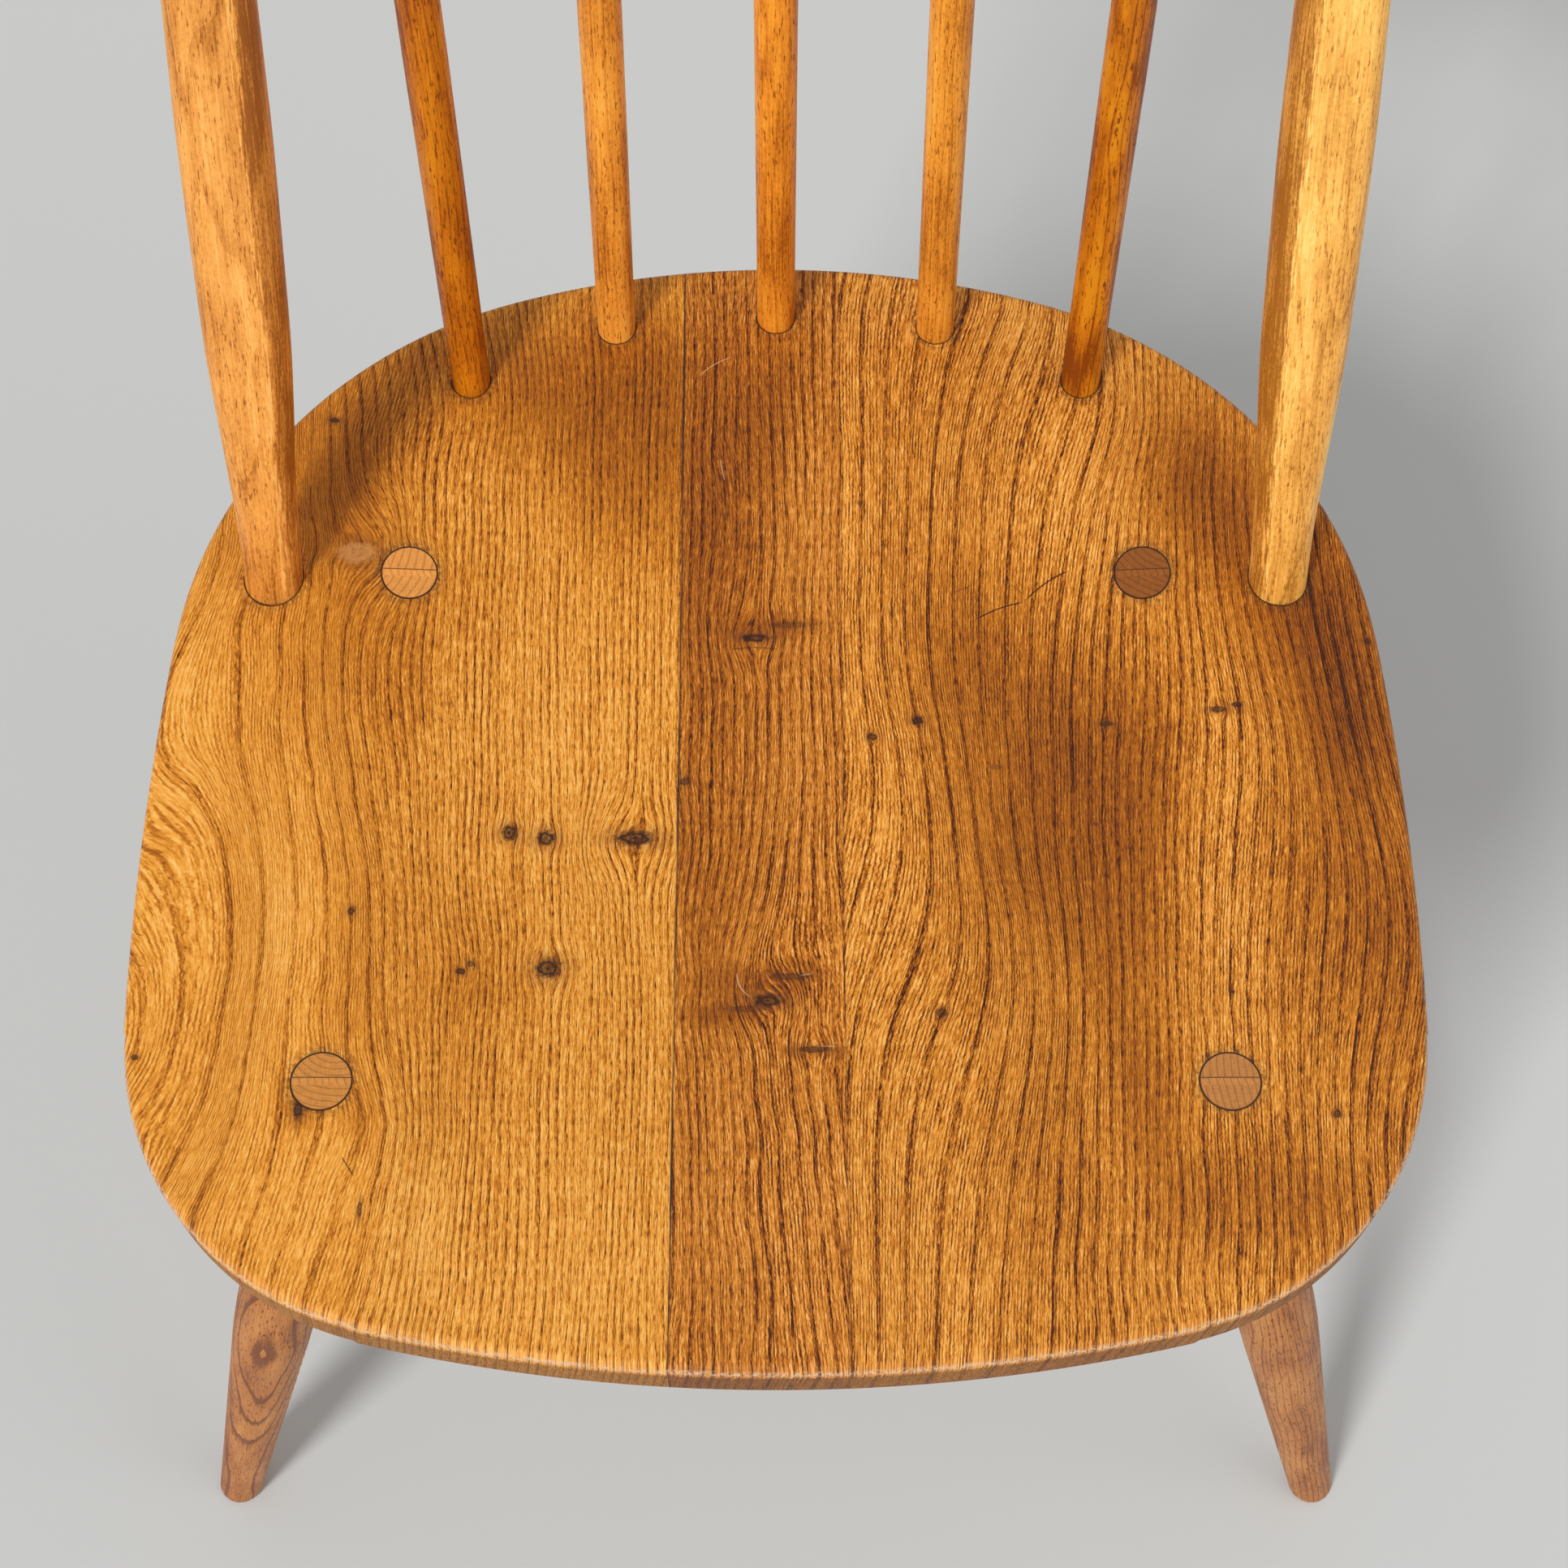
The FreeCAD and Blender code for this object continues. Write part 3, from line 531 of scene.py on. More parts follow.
# Growth lines of each board: ring count, then places along the line in the photo's 1932-pixel frame
growthLines = {
    "seat_board_left": [
        (0, [(845, 345), (841, 560), (837, 760), (832, 1000), (827, 1280), (822, 1670)]),
        (8, [(765, 440), (762, 600), (758, 760), (757, 900), (752, 1000), (746, 1040), (752, 1150),
            (755, 1280), (752, 1400), (748, 1500), (742, 1600), (738, 1670)]),
        (14, [(700, 420), (702, 560), (700, 720), (700, 860), (702, 960), (703, 1030), (703, 1100),
            (705, 1190), (702, 1300), (700, 1400), (700, 1500), (695, 1600), (688, 1670)]),
        (22, [(628, 430), (622, 600), (617, 760), (613, 900), (612, 1000), (610, 1040), (612, 1100),
            (618, 1190), (612, 1300), (607, 1400), (602, 1500), (595, 1600), (588, 1650)]),
        (28, [(575, 520), (565, 640), (560, 740), (556, 860), (558, 980), (556, 1060), (560, 1130),
            (568, 1185), (560, 1260), (556, 1350), (550, 1450), (540, 1540), (528, 1640)]),
        (33, [(500, 520), (497, 600), (500, 660), (498, 790), (497, 870), (505, 940), (508, 1020),
            (513, 1100), (515, 1200), (518, 1300), (520, 1380), (510, 1470), (497, 1560), (482, 1640)]),
        (37, [(430, 540), (438, 600), (458, 635), (478, 660), (474, 700), (448, 725), (432, 760),
            (425, 820), (426, 880), (434, 930), (440, 980), (450, 1030), (458, 1090), (459, 1160),
            (459, 1240), (462, 1290), (472, 1340), (480, 1385), (472, 1440), (457, 1510), (442, 1570),
            (430, 1610)]),
        (38, [(410, 545), (408, 610), (412, 650), (406, 690), (408, 720), (402, 760), (400, 820),
            (402, 870), (408, 930), (416, 990), (426, 1050), (432, 1100), (433, 1180), (429, 1240),
            (428, 1290), (436, 1335), (448, 1375), (438, 1420), (415, 1480), (395, 1550), (380, 1600)]),
        (39, [(388, 540), (386, 600), (392, 650), (396, 680), (388, 720), (380, 760), (378, 830),
            (380, 900), (388, 950), (399, 1030), (404, 1070), (405, 1130), (404, 1200), (402, 1290),
            (395, 1395), (380, 1440), (362, 1500), (338, 1580)]),
        (40, [(360, 700), (353, 760), (351, 830), (346, 890), (352, 940), (358, 985), (364, 1030),
            (368, 1080), (370, 1120), (367, 1170), (361, 1220), (357, 1270), (353, 1320), (350, 1380),
            (335, 1450), (318, 1500), (300, 1560)]),
        (41, [(300, 760), (300, 830), (299, 890), (302, 935), (310, 970), (317, 1005), (323, 1040),
            (327, 1090), (326, 1140), (322, 1200), (315, 1250), (307, 1300), (298, 1350), (283, 1400),
            (262, 1450), (240, 1500)]),
        (42, [(281, 620), (275, 680), (256, 740), (236, 785), (215, 830), (204, 880), (203, 915),
            (214, 942), (243, 965), (262, 1000), (275, 1030), (285, 1080), (290, 1130), (289, 1190),
            (280, 1240), (272, 1290), (260, 1340), (243, 1385), (222, 1430), (205, 1460)]),
        (43, [(176, 1038), (200, 1043), (212, 1062), (221, 1095), (228, 1150), (229, 1210), (224, 1260),
            (213, 1298), (197, 1343), (180, 1375), (165, 1397)]),
        (44, [(160, 1165), (172, 1180), (180, 1215), (180, 1260), (172, 1300), (160, 1318)]),
    ],
    "seat_board_middle": [
        (0, [(843, 345), (841, 560), (837, 760), (832, 1000), (827, 1280), (822, 1670)]),
        (2, [(862, 345), (861, 560), (858, 760), (860, 950), (858, 1060), (858, 1200), (858, 1300),
            (862, 1400), (864, 1500), (868, 1600), (872, 1680)]),
        (4, [(890, 345), (890, 560), (888, 700), (890, 850), (889, 950), (886, 1060), (875, 1120),
            (868, 1170), (870, 1250), (875, 1300), (878, 1400), (880, 1500), (883, 1600), (886, 1690)]),
        (6, [(918, 345), (920, 560), (920, 700), (912, 750), (910, 800), (915, 870), (915, 950),
            (912, 1030), (905, 1080), (897, 1130), (890, 1170), (886, 1210), (891, 1270), (898, 1330),
            (900, 1500), (905, 1680)]),
        (8, [(945, 345), (948, 560), (950, 650), (945, 740), (940, 800), (945, 850), (943, 950),
            (937, 1010), (930, 1060), (922, 1110), (914, 1150), (904, 1190), (907, 1225), (915, 1260),
            (925, 1350), (932, 1450), (938, 1520), (943, 1680)]),
        (10, [(975, 345), (980, 560), (985, 650), (980, 760), (972, 820), (975, 950), (970, 1020),
            (965, 1080), (955, 1130), (946, 1175), (968, 1235), (970, 1280), (975, 1330), (985, 1400),
            (990, 1480), (995, 1560), (1003, 1640), (1010, 1690)]),
        (12, [(1000, 345), (1003, 560), (1002, 700), (998, 750), (997, 800), (1000, 900), (1000, 1000),
            (999, 1060), (1002, 1120), (1008, 1190), (1006, 1260), (1012, 1350), (1020, 1440),
            (1030, 1520), (1038, 1600), (1045, 1660)]),
        (14, [(1026, 345), (1024, 560), (1020, 640), (1018, 700), (1020, 760), (1024, 870), (1028, 1000),
            (1033, 1100), (1038, 1200), (1044, 1300)]),
    ],
    "seat_board_right": [
        (0, [(1036, 345), (1034, 560), (1034, 780), (1036, 960), (1030, 1060), (1022, 1120)]),
        (1, [(1060, 400), (1060, 520), (1060, 640), (1058, 760), (1060, 850), (1072, 930), (1068, 1010),
            (1062, 1050), (1050, 1085), (1038, 1120)]),
        (2, [(1085, 380), (1087, 600), (1085, 700), (1083, 780), (1090, 850), (1100, 900), (1105, 960),
            (1110, 1000), (1108, 1050), (1095, 1100), (1080, 1150), (1062, 1210), (1048, 1260),
            (1044, 1340), (1045, 1500), (1050, 1680)]),
        (3, [(1125, 400), (1117, 480), (1115, 560), (1113, 620), (1112, 700), (1110, 780), (1118, 850),
            (1133, 905), (1138, 950), (1143, 1000), (1147, 1060), (1142, 1100), (1128, 1160), (1108, 1220),
            (1090, 1270), (1080, 1320), (1078, 1400), (1079, 1500), (1082, 1600), (1085, 1660)]),
        (4, [(1190, 390), (1165, 480), (1150, 560), (1145, 650), (1140, 760), (1145, 850), (1155, 900),
            (1163, 950), (1172, 1000), (1180, 1070), (1183, 1110), (1178, 1190), (1155, 1240),
            (1137, 1290), (1122, 1340), (1115, 1400), (1111, 1470), (1110, 1560), (1109, 1680)]),
        (5, [(1240, 370), (1210, 440), (1195, 500), (1180, 580), (1175, 680), (1172, 780), (1178, 860),
            (1185, 900), (1195, 950), (1203, 1000), (1213, 1080), (1218, 1120), (1217, 1200), (1203, 1270),
            (1187, 1330), (1170, 1390), (1157, 1450), (1147, 1510), (1142, 1590), (1138, 1680)]),
        (6, [(1262, 390), (1240, 440), (1222, 500), (1210, 580), (1205, 660), (1203, 760), (1205, 860),
            (1212, 960), (1228, 1060), (1245, 1130), (1250, 1190), (1241, 1280), (1228, 1360),
            (1217, 1420), (1206, 1520), (1197, 1600), (1193, 1670)]),
        (7, [(1295, 385), (1275, 440), (1262, 480), (1250, 540), (1240, 620), (1235, 700), (1235, 800),
            (1232, 900), (1233, 1000), (1240, 1070), (1262, 1150), (1277, 1240), (1270, 1320),
            (1255, 1400), (1243, 1520), (1234, 1650)]),
        (8, [(1325, 440), (1310, 485), (1288, 540), (1275, 600), (1268, 660), (1262, 740), (1262, 850),
            (1264, 950), (1278, 1090), (1292, 1180), (1296, 1250), (1286, 1330), (1271, 1430),
            (1262, 1560), (1258, 1650)]),
        (9, [(1365, 470), (1350, 530), (1330, 590), (1318, 660), (1310, 720), (1302, 800), (1300, 950),
            (1302, 1100), (1309, 1200), (1311, 1270), (1305, 1340), (1297, 1420), (1292, 1540),
            (1290, 1650)]),
        (10, [(1385, 500), (1370, 560), (1355, 600), (1342, 660), (1330, 740), (1322, 800), (1323, 980),
            (1328, 1150), (1332, 1260), (1332, 1330), (1327, 1420), (1323, 1540), (1322, 1640)]),
        (11, [(1397, 430), (1392, 530), (1377, 600), (1363, 680), (1350, 740), (1340, 800), (1345, 950),
            (1352, 1100), (1357, 1200), (1359, 1320), (1361, 1420), (1363, 1500), (1365, 1640)]),
        (14, [(1415, 430), (1405, 600), (1400, 690), (1402, 800), (1402, 880), (1400, 1060), (1402, 1200),
            (1404, 1400), (1410, 1620)]),
        (17, [(1440, 450), (1437, 560), (1442, 700), (1438, 860), (1432, 950), (1435, 1100), (1437, 1300),
            (1440, 1500), (1445, 1620)]),
        (20, [(1462, 470), (1456, 600), (1460, 740), (1475, 880), (1472, 960), (1465, 1060), (1466, 1200),
            (1462, 1400), (1456, 1590)]),
        (21, [(1480, 520), (1475, 600), (1478, 680), (1490, 830), (1498, 920), (1492, 1010), (1488, 1080),
            (1488, 1200), (1488, 1400), (1490, 1560)]),
        (22, [(1500, 560), (1495, 640), (1508, 760), (1524, 840), (1533, 900), (1530, 960), (1519, 1040),
            (1512, 1140), (1510, 1240), (1516, 1400), (1520, 1550)]),
        (23, [(1530, 780), (1550, 880), (1557, 960), (1553, 1040), (1543, 1120), (1541, 1200),
            (1550, 1340), (1558, 1420), (1560, 1530)]),
        (24, [(1545, 780), (1560, 840), (1573, 900), (1575, 980), (1570, 1060), (1565, 1150), (1562, 1260),
            (1570, 1400), (1580, 1520)]),
        (26, [(1560, 760), (1580, 840), (1597, 900), (1605, 960), (1608, 1040), (1600, 1240), (1600, 1400),
            (1602, 1500)]),
        (27, [(1580, 760), (1600, 860), (1615, 930), (1626, 1000), (1627, 1080), (1621, 1180),
            (1617, 1300), (1622, 1480)]),
        (28, [(1600, 780), (1620, 870), (1638, 950), (1650, 1010), (1655, 1080), (1650, 1170),
            (1642, 1300), (1648, 1470)]),
        (29, [(1620, 780), (1640, 880), (1658, 970), (1672, 1010), (1684, 1080), (1685, 1140),
            (1675, 1210), (1662, 1310), (1665, 1470)]),
        (30, [(1640, 780), (1660, 880), (1680, 970), (1697, 1040), (1710, 1100), (1713, 1170),
            (1705, 1230), (1690, 1300), (1682, 1400)]),
        (31, [(1655, 720), (1672, 820), (1690, 920), (1708, 1000), (1725, 1060), (1735, 1130),
            (1736, 1190), (1728, 1250), (1712, 1320), (1702, 1420)]),
        (32, [(1660, 700), (1685, 820), (1705, 920), (1728, 1010), (1744, 1090), (1751, 1160),
            (1750, 1230), (1740, 1310), (1725, 1400)]),
    ],
}

# Knots and pits: photo place, half width and half height in its pixels, depth of colour, push on the
# grain. A depth below 0 is a pale knot.
knots = [
    (782, 1033, 26, 11, 0.9, 1.0), (628, 1026, 11, 11, 0.85, 0.8), (673, 1033, 12, 12, 0.9, 0.8),
    (675, 1193, 16, 14, 0.95, 0.9), (568, 1197, 6, 5, 0.95, 0.6), (580, 1188, 5, 5, 0.7, 0.5),
    (440, 681, 26, 16, -0.75, 0), (412, 518, 8, 4, 1.0, 0), (433, 1122, 5, 6, 0.8, 0),
    (166, 1303, 5, 4, 0.8, 0), (443, 1490, 3, 11, 0.7, 0), (367, 1367, 6, 13, 0.95, 0),
    (931, 786, 20, 6, 0.95, 0.8), (975, 770, 30, 5, 0.45, 0), (946, 1233, 20, 9, 0.95, 0.9),
    (975, 1203, 28, 5, 0.6, 0), (920, 1243, 26, 5, 0.5, 0), (1003, 1293, 20, 5, 0.7, 0.5),
    (843, 963, 8, 6, 0.7, 0), (1075, 908, 7, 5, 0.85, 0.7), (1130, 888, 8, 6, 0.9, 0.8),
    (1160, 1248, 9, 6, 0.6, 0.5), (1363, 892, 10, 4, 0.7, 0.5), (1500, 874, 11, 5, 0.8, 0.6),
    (1524, 868, 7, 4, 0.8, 0.5), (1648, 1372, 5, 6, 0.8, 0.4), (1685, 790, 5, 5, 0.8, 0.3),
    (1099, 755, 2, 9, 0.7, 0), (1060, 620, 4, 3, 0.6, 0), (1350, 1015, 4, 3, 0.5, 0),
    (1519, 1222, 3, 2, 0.8, 0), (1228, 945, 8, 4, 0.4, 0),
]

# Broad darker and lighter patches, partly the wood's own tone and partly painted shadow and light: the
# posts' cast shadows and the dish's slopes turned from or towards the lamp. Each is a photo place, half
# width and half height, change of lightness
toneAndShadePatches = {
    "seat_board_left": [
        (420, 580, 90, 120, -0.18), (790, 520, 105, 170, -0.26), (640, 470, 170, 95, -0.20),
        (470, 800, 75, 105, -0.11), (560, 1300, 85, 110, -0.08), (500, 870, 34, 120, -0.08),
        (530, 1140, 100, 100, -0.08), (600, 1225, 50, 26, -0.08), (368, 1374, 20, 22, -0.22),
        (445, 1375, 26, 26, -0.10), (230, 860, 70, 130, 0.12), (205, 1160, 70, 150, 0.10),
        (360, 1120, 44, 160, 0.15), (350, 1480, 130, 90, 0.10), (620, 1540, 160, 90, 0.03),
        (690, 900, 90, 120, 0.03), (560, 720, 60, 60, -0.08),
    ],
    "seat_board_middle": [
        (880, 620, 70, 250, -0.20), (960, 480, 60, 90, -0.10), (945, 773, 52, 15, -0.16),
        (935, 1213, 62, 20, -0.18), (890, 1252, 44, 13, -0.18), (1003, 1296, 34, 9, -0.12),
        (870, 1080, 50, 140, -0.12), (1010, 1500, 40, 150, 0.06), (990, 620, 30, 130, 0.04),
        (850, 1500, 20, 160, -0.06),
    ],
    "seat_board_right": [
        (1190, 800, 110, 130, -0.16), (1250, 1040, 90, 150, -0.16), (1370, 940, 90, 120, -0.24),
        (1380, 1150, 60, 150, -0.18), (1418, 1360, 34, 80, -0.16), (1290, 1480, 60, 170, -0.10),
        (1130, 540, 80, 120, -0.06), (1620, 740, 90, 110, -0.30), (1665, 880, 60, 90, -0.24),
        (1590, 1090, 45, 130, -0.10), (1700, 1130, 70, 190, -0.24), (1480, 590, 80, 110, -0.26),
        (1560, 1480, 130, 70, -0.18), (1500, 1000, 40, 200, 0.05), (1330, 620, 60, 90, 0.12),
        (1640, 1400, 30, 40, 0.08), (1110, 1100, 50, 200, 0.04), (1050, 700, 30, 300, 0.03),
    ],
}


# Where places of the photo lie on the seat's top, as across and depth
def seatPlaces(pixels):
    pixels = np.asarray(pixels, dtype=float)
    tilt = math.radians(studio["cameraTilt"])
    focal = studio["lens"] / filmWidth * photoSize
    across = (pixels[:, 0] - photoSize / 2) / focal + studio["shift"] * photoSize / focal
    up = (photoSize / 2 - pixels[:, 1]) / focal
    way = np.stack([across, math.sin(tilt) + up * math.cos(tilt), up * math.sin(tilt) - math.cos(tilt)], 1)
    eye = np.array(studio["cameraPlace"])
    height = np.full(len(pixels), seat["top"])
    for _ in range(4):
        spots = eye + way * ((height - eye[2]) / way[:, 2])[:, None]
        height = seatHeight(spots[:, 0], spots[:, 1] - seat["front"])
    return spots[:, 0], spots[:, 1] - seat["front"]


pixelSize = 0.00026              # one photo pixel on the seat, about
centimetres, millimetres = 100, 1000
figure = {
    "ease": {"seat_board_left": 0.3, "seat_board_middle": 0.5, "seat_board_right": 8},   # evens the lines
    "sideLean": 0.12,            # how the lines lean on the seat's sides, below the rim
    "rim": 0.003,
    "knotReach": 0.8,
    "knotLong": 2.4,
    "knotWide": 2.2,
    "knotBend": 0.85,
    "step": 0.05,                # centimetres, for the slope of the rings
    "leastSlope": 0.05,
    "ringWidths": (1, 12),       # millimetres
    "patchLong": 1.1,
    "patchSoft": 1.3,
    "farGap": 0.03,
}


# A smooth field through values at scattered spots, as a function of places
def thinPlate(spots, values, ease):
    spots, values = np.asarray(spots), np.asarray(values, dtype=float)

    def bend(a, b):
        square = ((a[:, None, :] - b[None, :, :]) ** 2).sum(2)
        return 0.5 * square * np.log(square + 1e-12)

    count = len(spots)
    flat = np.concatenate([np.ones((count, 1)), spots], 1)
    grid = np.zeros((count + 3, count + 3))
    grid[:count, :count] = bend(spots, spots) + ease * np.eye(count)
    grid[:count, count:] = flat
    grid[count:, :count] = flat.T
    weights = np.linalg.solve(grid, np.concatenate([values, np.zeros((3,) + values.shape[1:])]))

    def field(places):
        found = []
        for part in np.array_split(places, max(1, len(places) // 4000)):
            near = np.concatenate([bend(part, spots), np.ones((len(part), 1)), part], 1)
            found.append(near @ weights)
        return np.concatenate(found)

    return field


def knotPlaces():
    across, depth = seatPlaces([(x, y) for x, y, *_ in knots])
    return [(a, d, w * pixelSize, h * pixelSize, dark, push)
            for a, d, (_, _, w, h, dark, push) in zip(across, depth, knots)]


placedKnots = knotPlaces()


# Lay the growth rings, knots, patches of tone and painted shade, wear and gaps on a board's points
def paintFigure(board, node):
    mesh = board.data
    spots = pointsOf(mesh)
    depth = spots[:, 1] - seat["front"]
    drop = seatHeight(spots[:, 0], depth) - spots[:, 2]
    across = spots[:, 0] + figure["sideLean"] * np.maximum(0, drop - figure["rim"])

    # Grain pushed aside by the knots
    bentAcross = across.copy()
    for a, d, wide, high, dark, push in placedKnots:
        if push:
            reach = max(wide, high) * figure["knotReach"] * push
            off = across - a
            beside = (off / (reach * figure["knotWide"])) ** 2
            beyond = ((depth - d) / (reach * figure["knotLong"])) ** 2
            bentAcross -= figure["knotBend"] * np.exp(-beyond) * np.exp(-beside) * off

    guide = []
    labels = []
    for ring, line in growthLines[node]:
        a, d = seatPlaces(line)
        guide += list(zip(a * centimetres, d * centimetres))
        labels += [(ring, float(np.mean(a)) * millimetres)] * len(line)
    field = thinPlate(guide, labels, figure["ease"][node])
    here = np.stack([bentAcross, depth], 1) * centimetres
    step = figure["step"]
    found = field(here)
    sideways = field(here + (step, 0)) - found
    onward = field(here + (0, step)) - found
    slope = np.hypot(sideways[:, 0], onward[:, 0]) / (step * millimetres / centimetres)
    paintOn(mesh, "growth", found[:, 0])
    paintOn(mesh, "span", found[:, 1])
    paintOn(mesh, "ringWidth", np.clip(1 / np.maximum(slope, figure["leastSlope"]), *figure["ringWidths"]))

    # The patches' lightness: the wood's own tone with painted shadow and shade laid in
    tone = np.zeros(len(spots))
    xs, ds = seatPlaces([(x, y) for x, y, *_ in toneAndShadePatches[node]])
    for a, d, (_, _, wide, high, change) in zip(xs, ds, toneAndShadePatches[node]):
        long = high * pixelSize * figure["patchLong"]
        away = ((across - a) / (wide * pixelSize)) ** 2 + ((depth - d) / long) ** 2
        tone += change * np.exp(-away / figure["patchSoft"])
    paintOn(mesh, "tone", tone)

    gap = np.full(len(spots), figure["farGap"])
    for axes, radius in ((legs, holes["leg"]), (posts, holes["post"]), (sticks, holes["stick"])):
        for low, high in axes.values():
            gap = np.minimum(gap, np.abs(axisDistance(spots, low, high) - radius))
    paintOn(mesh, "gap", gap * millimetres)
    joint = np.min([np.abs(spots[:, 0] - edge) for edge in seat["joints"]], axis=0)
    paintOn(mesh, "joint", joint * millimetres)
    paintOn(mesh, "inset", insetAt(spots[:, 0], depth) * millimetres)
    paintOn(mesh, "drop", drop * millimetres)


for board, node in zip(boards, ("seat_board_left", "seat_board_middle", "seat_board_right")):
    paintFigure(board, node)
print("figure laid on the seat")


# A node's output. Plain arithmetic on it makes math nodes.
class Wire:
    def __init__(self, socket):
        self.socket = socket

    def step(self, operation, *others):
        return calc(self.socket.id_data, operation, self, *others)

    def __add__(self, other):
        return self.step("ADD", other)

    def __sub__(self, other):
        return self.step("SUBTRACT", other)

    def __mul__(self, other):
        return self.step("MULTIPLY", other)

    def __truediv__(self, other):
        return self.step("DIVIDE", other)

    def __abs__(self):
        return self.step("ABSOLUTE")


# Three numbers are a colour, which a socket wants with its alpha
def plug(socket, value):
    if isinstance(value, Wire):
        socket.id_data.links.new(value.socket, socket)
    else:
        socket.default_value = (*value, 1) if isinstance(value, tuple) else value


def makeNode(tree, kind, inputs=(), output=0, **settings):
    made = tree.nodes.new("ShaderNode" + kind)
    for setting, value in settings.items():
        setattr(made, setting, value)
    for key, value in inputs.items() if isinstance(inputs, dict) else enumerate(inputs):
        plug(made.inputs[key], value)
    return Wire(made.outputs[output])


def calc(tree, operation, *values):
    return makeNode(tree, "Math", values, operation=operation)


def larger(tree, first, second):
    return calc(tree, "MAXIMUM", first, second)


# Fits a value's range, low to high, to a new one
def remap(tree, value, low, high, newLow=0.0, newHigh=1.0, how="SMOOTHSTEP"):
    return makeNode(tree, "MapRange", (value, low, high, newLow, newHigh), interpolation_type=how)


def attribute(tree, name):
    return makeNode(tree, "Attribute", output="Fac", attribute_name=name)


def objectPlace(tree):
    return makeNode(tree, "TexCoord", output="Object")


def vector(tree, *values):
    return makeNode(tree, "CombineXYZ", values)


def separate(tree, place):
    made = tree.nodes.new("ShaderNodeSeparateXYZ")
    plug(made.inputs[0], place)
    return [Wire(socket) for socket in made.outputs]


def noise(tree, place, scale, detail, rough):
    inputs = {"Vector": place, "Scale": scale, "Detail": detail, "Roughness": rough}
    return makeNode(tree, "TexNoise", inputs, "Fac")


def randomOf(tree, value, seed):
    place = {"Vector": vector(tree, value, seed)}
    return makeNode(tree, "TexWhiteNoise", place, "Value", noise_dimensions="2D")


def ramp(tree, share, stops):
    made = tree.nodes.new("ShaderNodeValToRGB")
    plug(made.inputs[0], share)
    bar = made.color_ramp
    while len(bar.elements) < len(stops):
        bar.elements.new(0.5)
    for element, (place, colour) in zip(bar.elements, stops):
        element.position = place
        element.color = (*colour, 1)
    return Wire(made.outputs[0])


def tint(tree, how, share, first, second):
    return makeNode(tree, "Mix", {0: share, 6: first, 7: second}, 2, data_type="RGBA", blend_type=how,
                    clamp_factor=True)


# Ends a material: colour, gloss, and a relief whose height 1 is a distance in metres
def finishWith(tree, shader, colour, gloss, height, distance, shine):
    plug(shader.inputs["Base Color"], colour)
    plug(shader.inputs["Roughness"], gloss)
    relief = {"Height": height, "Distance": distance, "Strength": 1}
    plug(shader.inputs["Normal"], makeNode(tree, "Bump", relief))
    plug(shader.inputs["Specular IOR Level"], shine)


def blankMaterial(name):
    paint = bpy.data.materials.new(name)
    paint.use_nodes = True
    return paint, paint.node_tree, paint.node_tree.nodes["Principled BSDF"]


elmLook = {
    # lightness to colour, from the pores' bottoms to the pale wood of late summer
    "colours": [(0.0, (0.055, 0.012, 0.001)), (0.18, (0.21, 0.050, 0.002)), (0.38, (0.39, 0.118, 0.004)),
                (0.56, (0.60, 0.217, 0.012)), (0.76, (0.88, 0.382, 0.050)), (1.0, (1.0, 0.60, 0.17))],
    "knot": (0.040, 0.012, 0.005),
    "halo": (0.20, 0.055, 0.010),
    "paleKnot": (0.58, 0.255, 0.070),
    # dark of the gaps and joints, also the painted contact shade round the holes
    "dirtAndShade": (0.045, 0.028, 0.016),
    "worn": (0.76, 0.55, 0.36),
    "scratch": (0.90, 0.62, 0.34),
    # how far each layer lightens the wood, and how high it stands
    "base": 0.12,
    "weights": {"pore": -0.25, "line": -0.25, "fibre": 0.90, "streak": 0.34, "speck": 0.42, "glint": 0.16},
    "cloud": 0.22,
    "heights": {"spring": -0.35, "pore": -0.7, "line": -0.25, "fibre": 0.3, "crack": -2.0},
    "relief": 0.00016,
    "gloss": 0.40,
    "glossOf": {"pore": 0.25, "gloss": 0.16, "dirtAndShade": 0.3},
    "shine": 0.3,
}
boardLooks = {
    "seat_board_left": {
        "light": 0.57, "contrast": 1.75, "plain": 0.64, "cast": (1, 0.94, 0.82), "seed": 3.0},
    "seat_board_middle": {
        "light": 0.41, "contrast": 1.8, "plain": 1.0, "cast": (1, 0.92, 1.05), "seed": 17.0},
    "seat_board_right": {
        "light": 0.50, "contrast": 1.85, "plain": 1.0, "cast": (1, 0.93, 0.88), "seed": 29.0},
}
elmGrain = {
    # scale across and along the grain for each millimetre, detail, roughness, seed shift
    "drift": (0.20, 0.012, 1, 0.5, 0),
    "waver": (1.2, 0.07, 2, 0.5, 4),
    "fading": (0.12, 0.02, 2, 0.5, 6),
    "broken": (2.8, 0.36, 2, 0.6, 7),
    "pores": (3.2, 0.34, 2, 0.6, 8),
    "wander": (0.16, 0.03, 1, 0.6, 12),
    "wiggle": (0.8, 0.75, 1, 0.5, 15),
    "silk": (0.6, 0.05, 2, 0.5, 19),
    "fibre": (3.3, 0.15, 3, 0.65, 23),
    "streak": (1.1, 0.022, 3, 0.6, 25),
    "speck": (2.3, 0.34, 3, 0.7, 27),
    "glint": (3.4, 0.26, 2, 0.6, 29),
    "cloud": (0.05, 0.018, 3, 0.5, 31),
    "uneven": (0.7, 0.7, 2, 0.5, 39),
    "seam": (0.02, 0.03, 2, 0.5, 43),
    "gloss": (0.06, 0.06, 3, 0.5, 51),
}
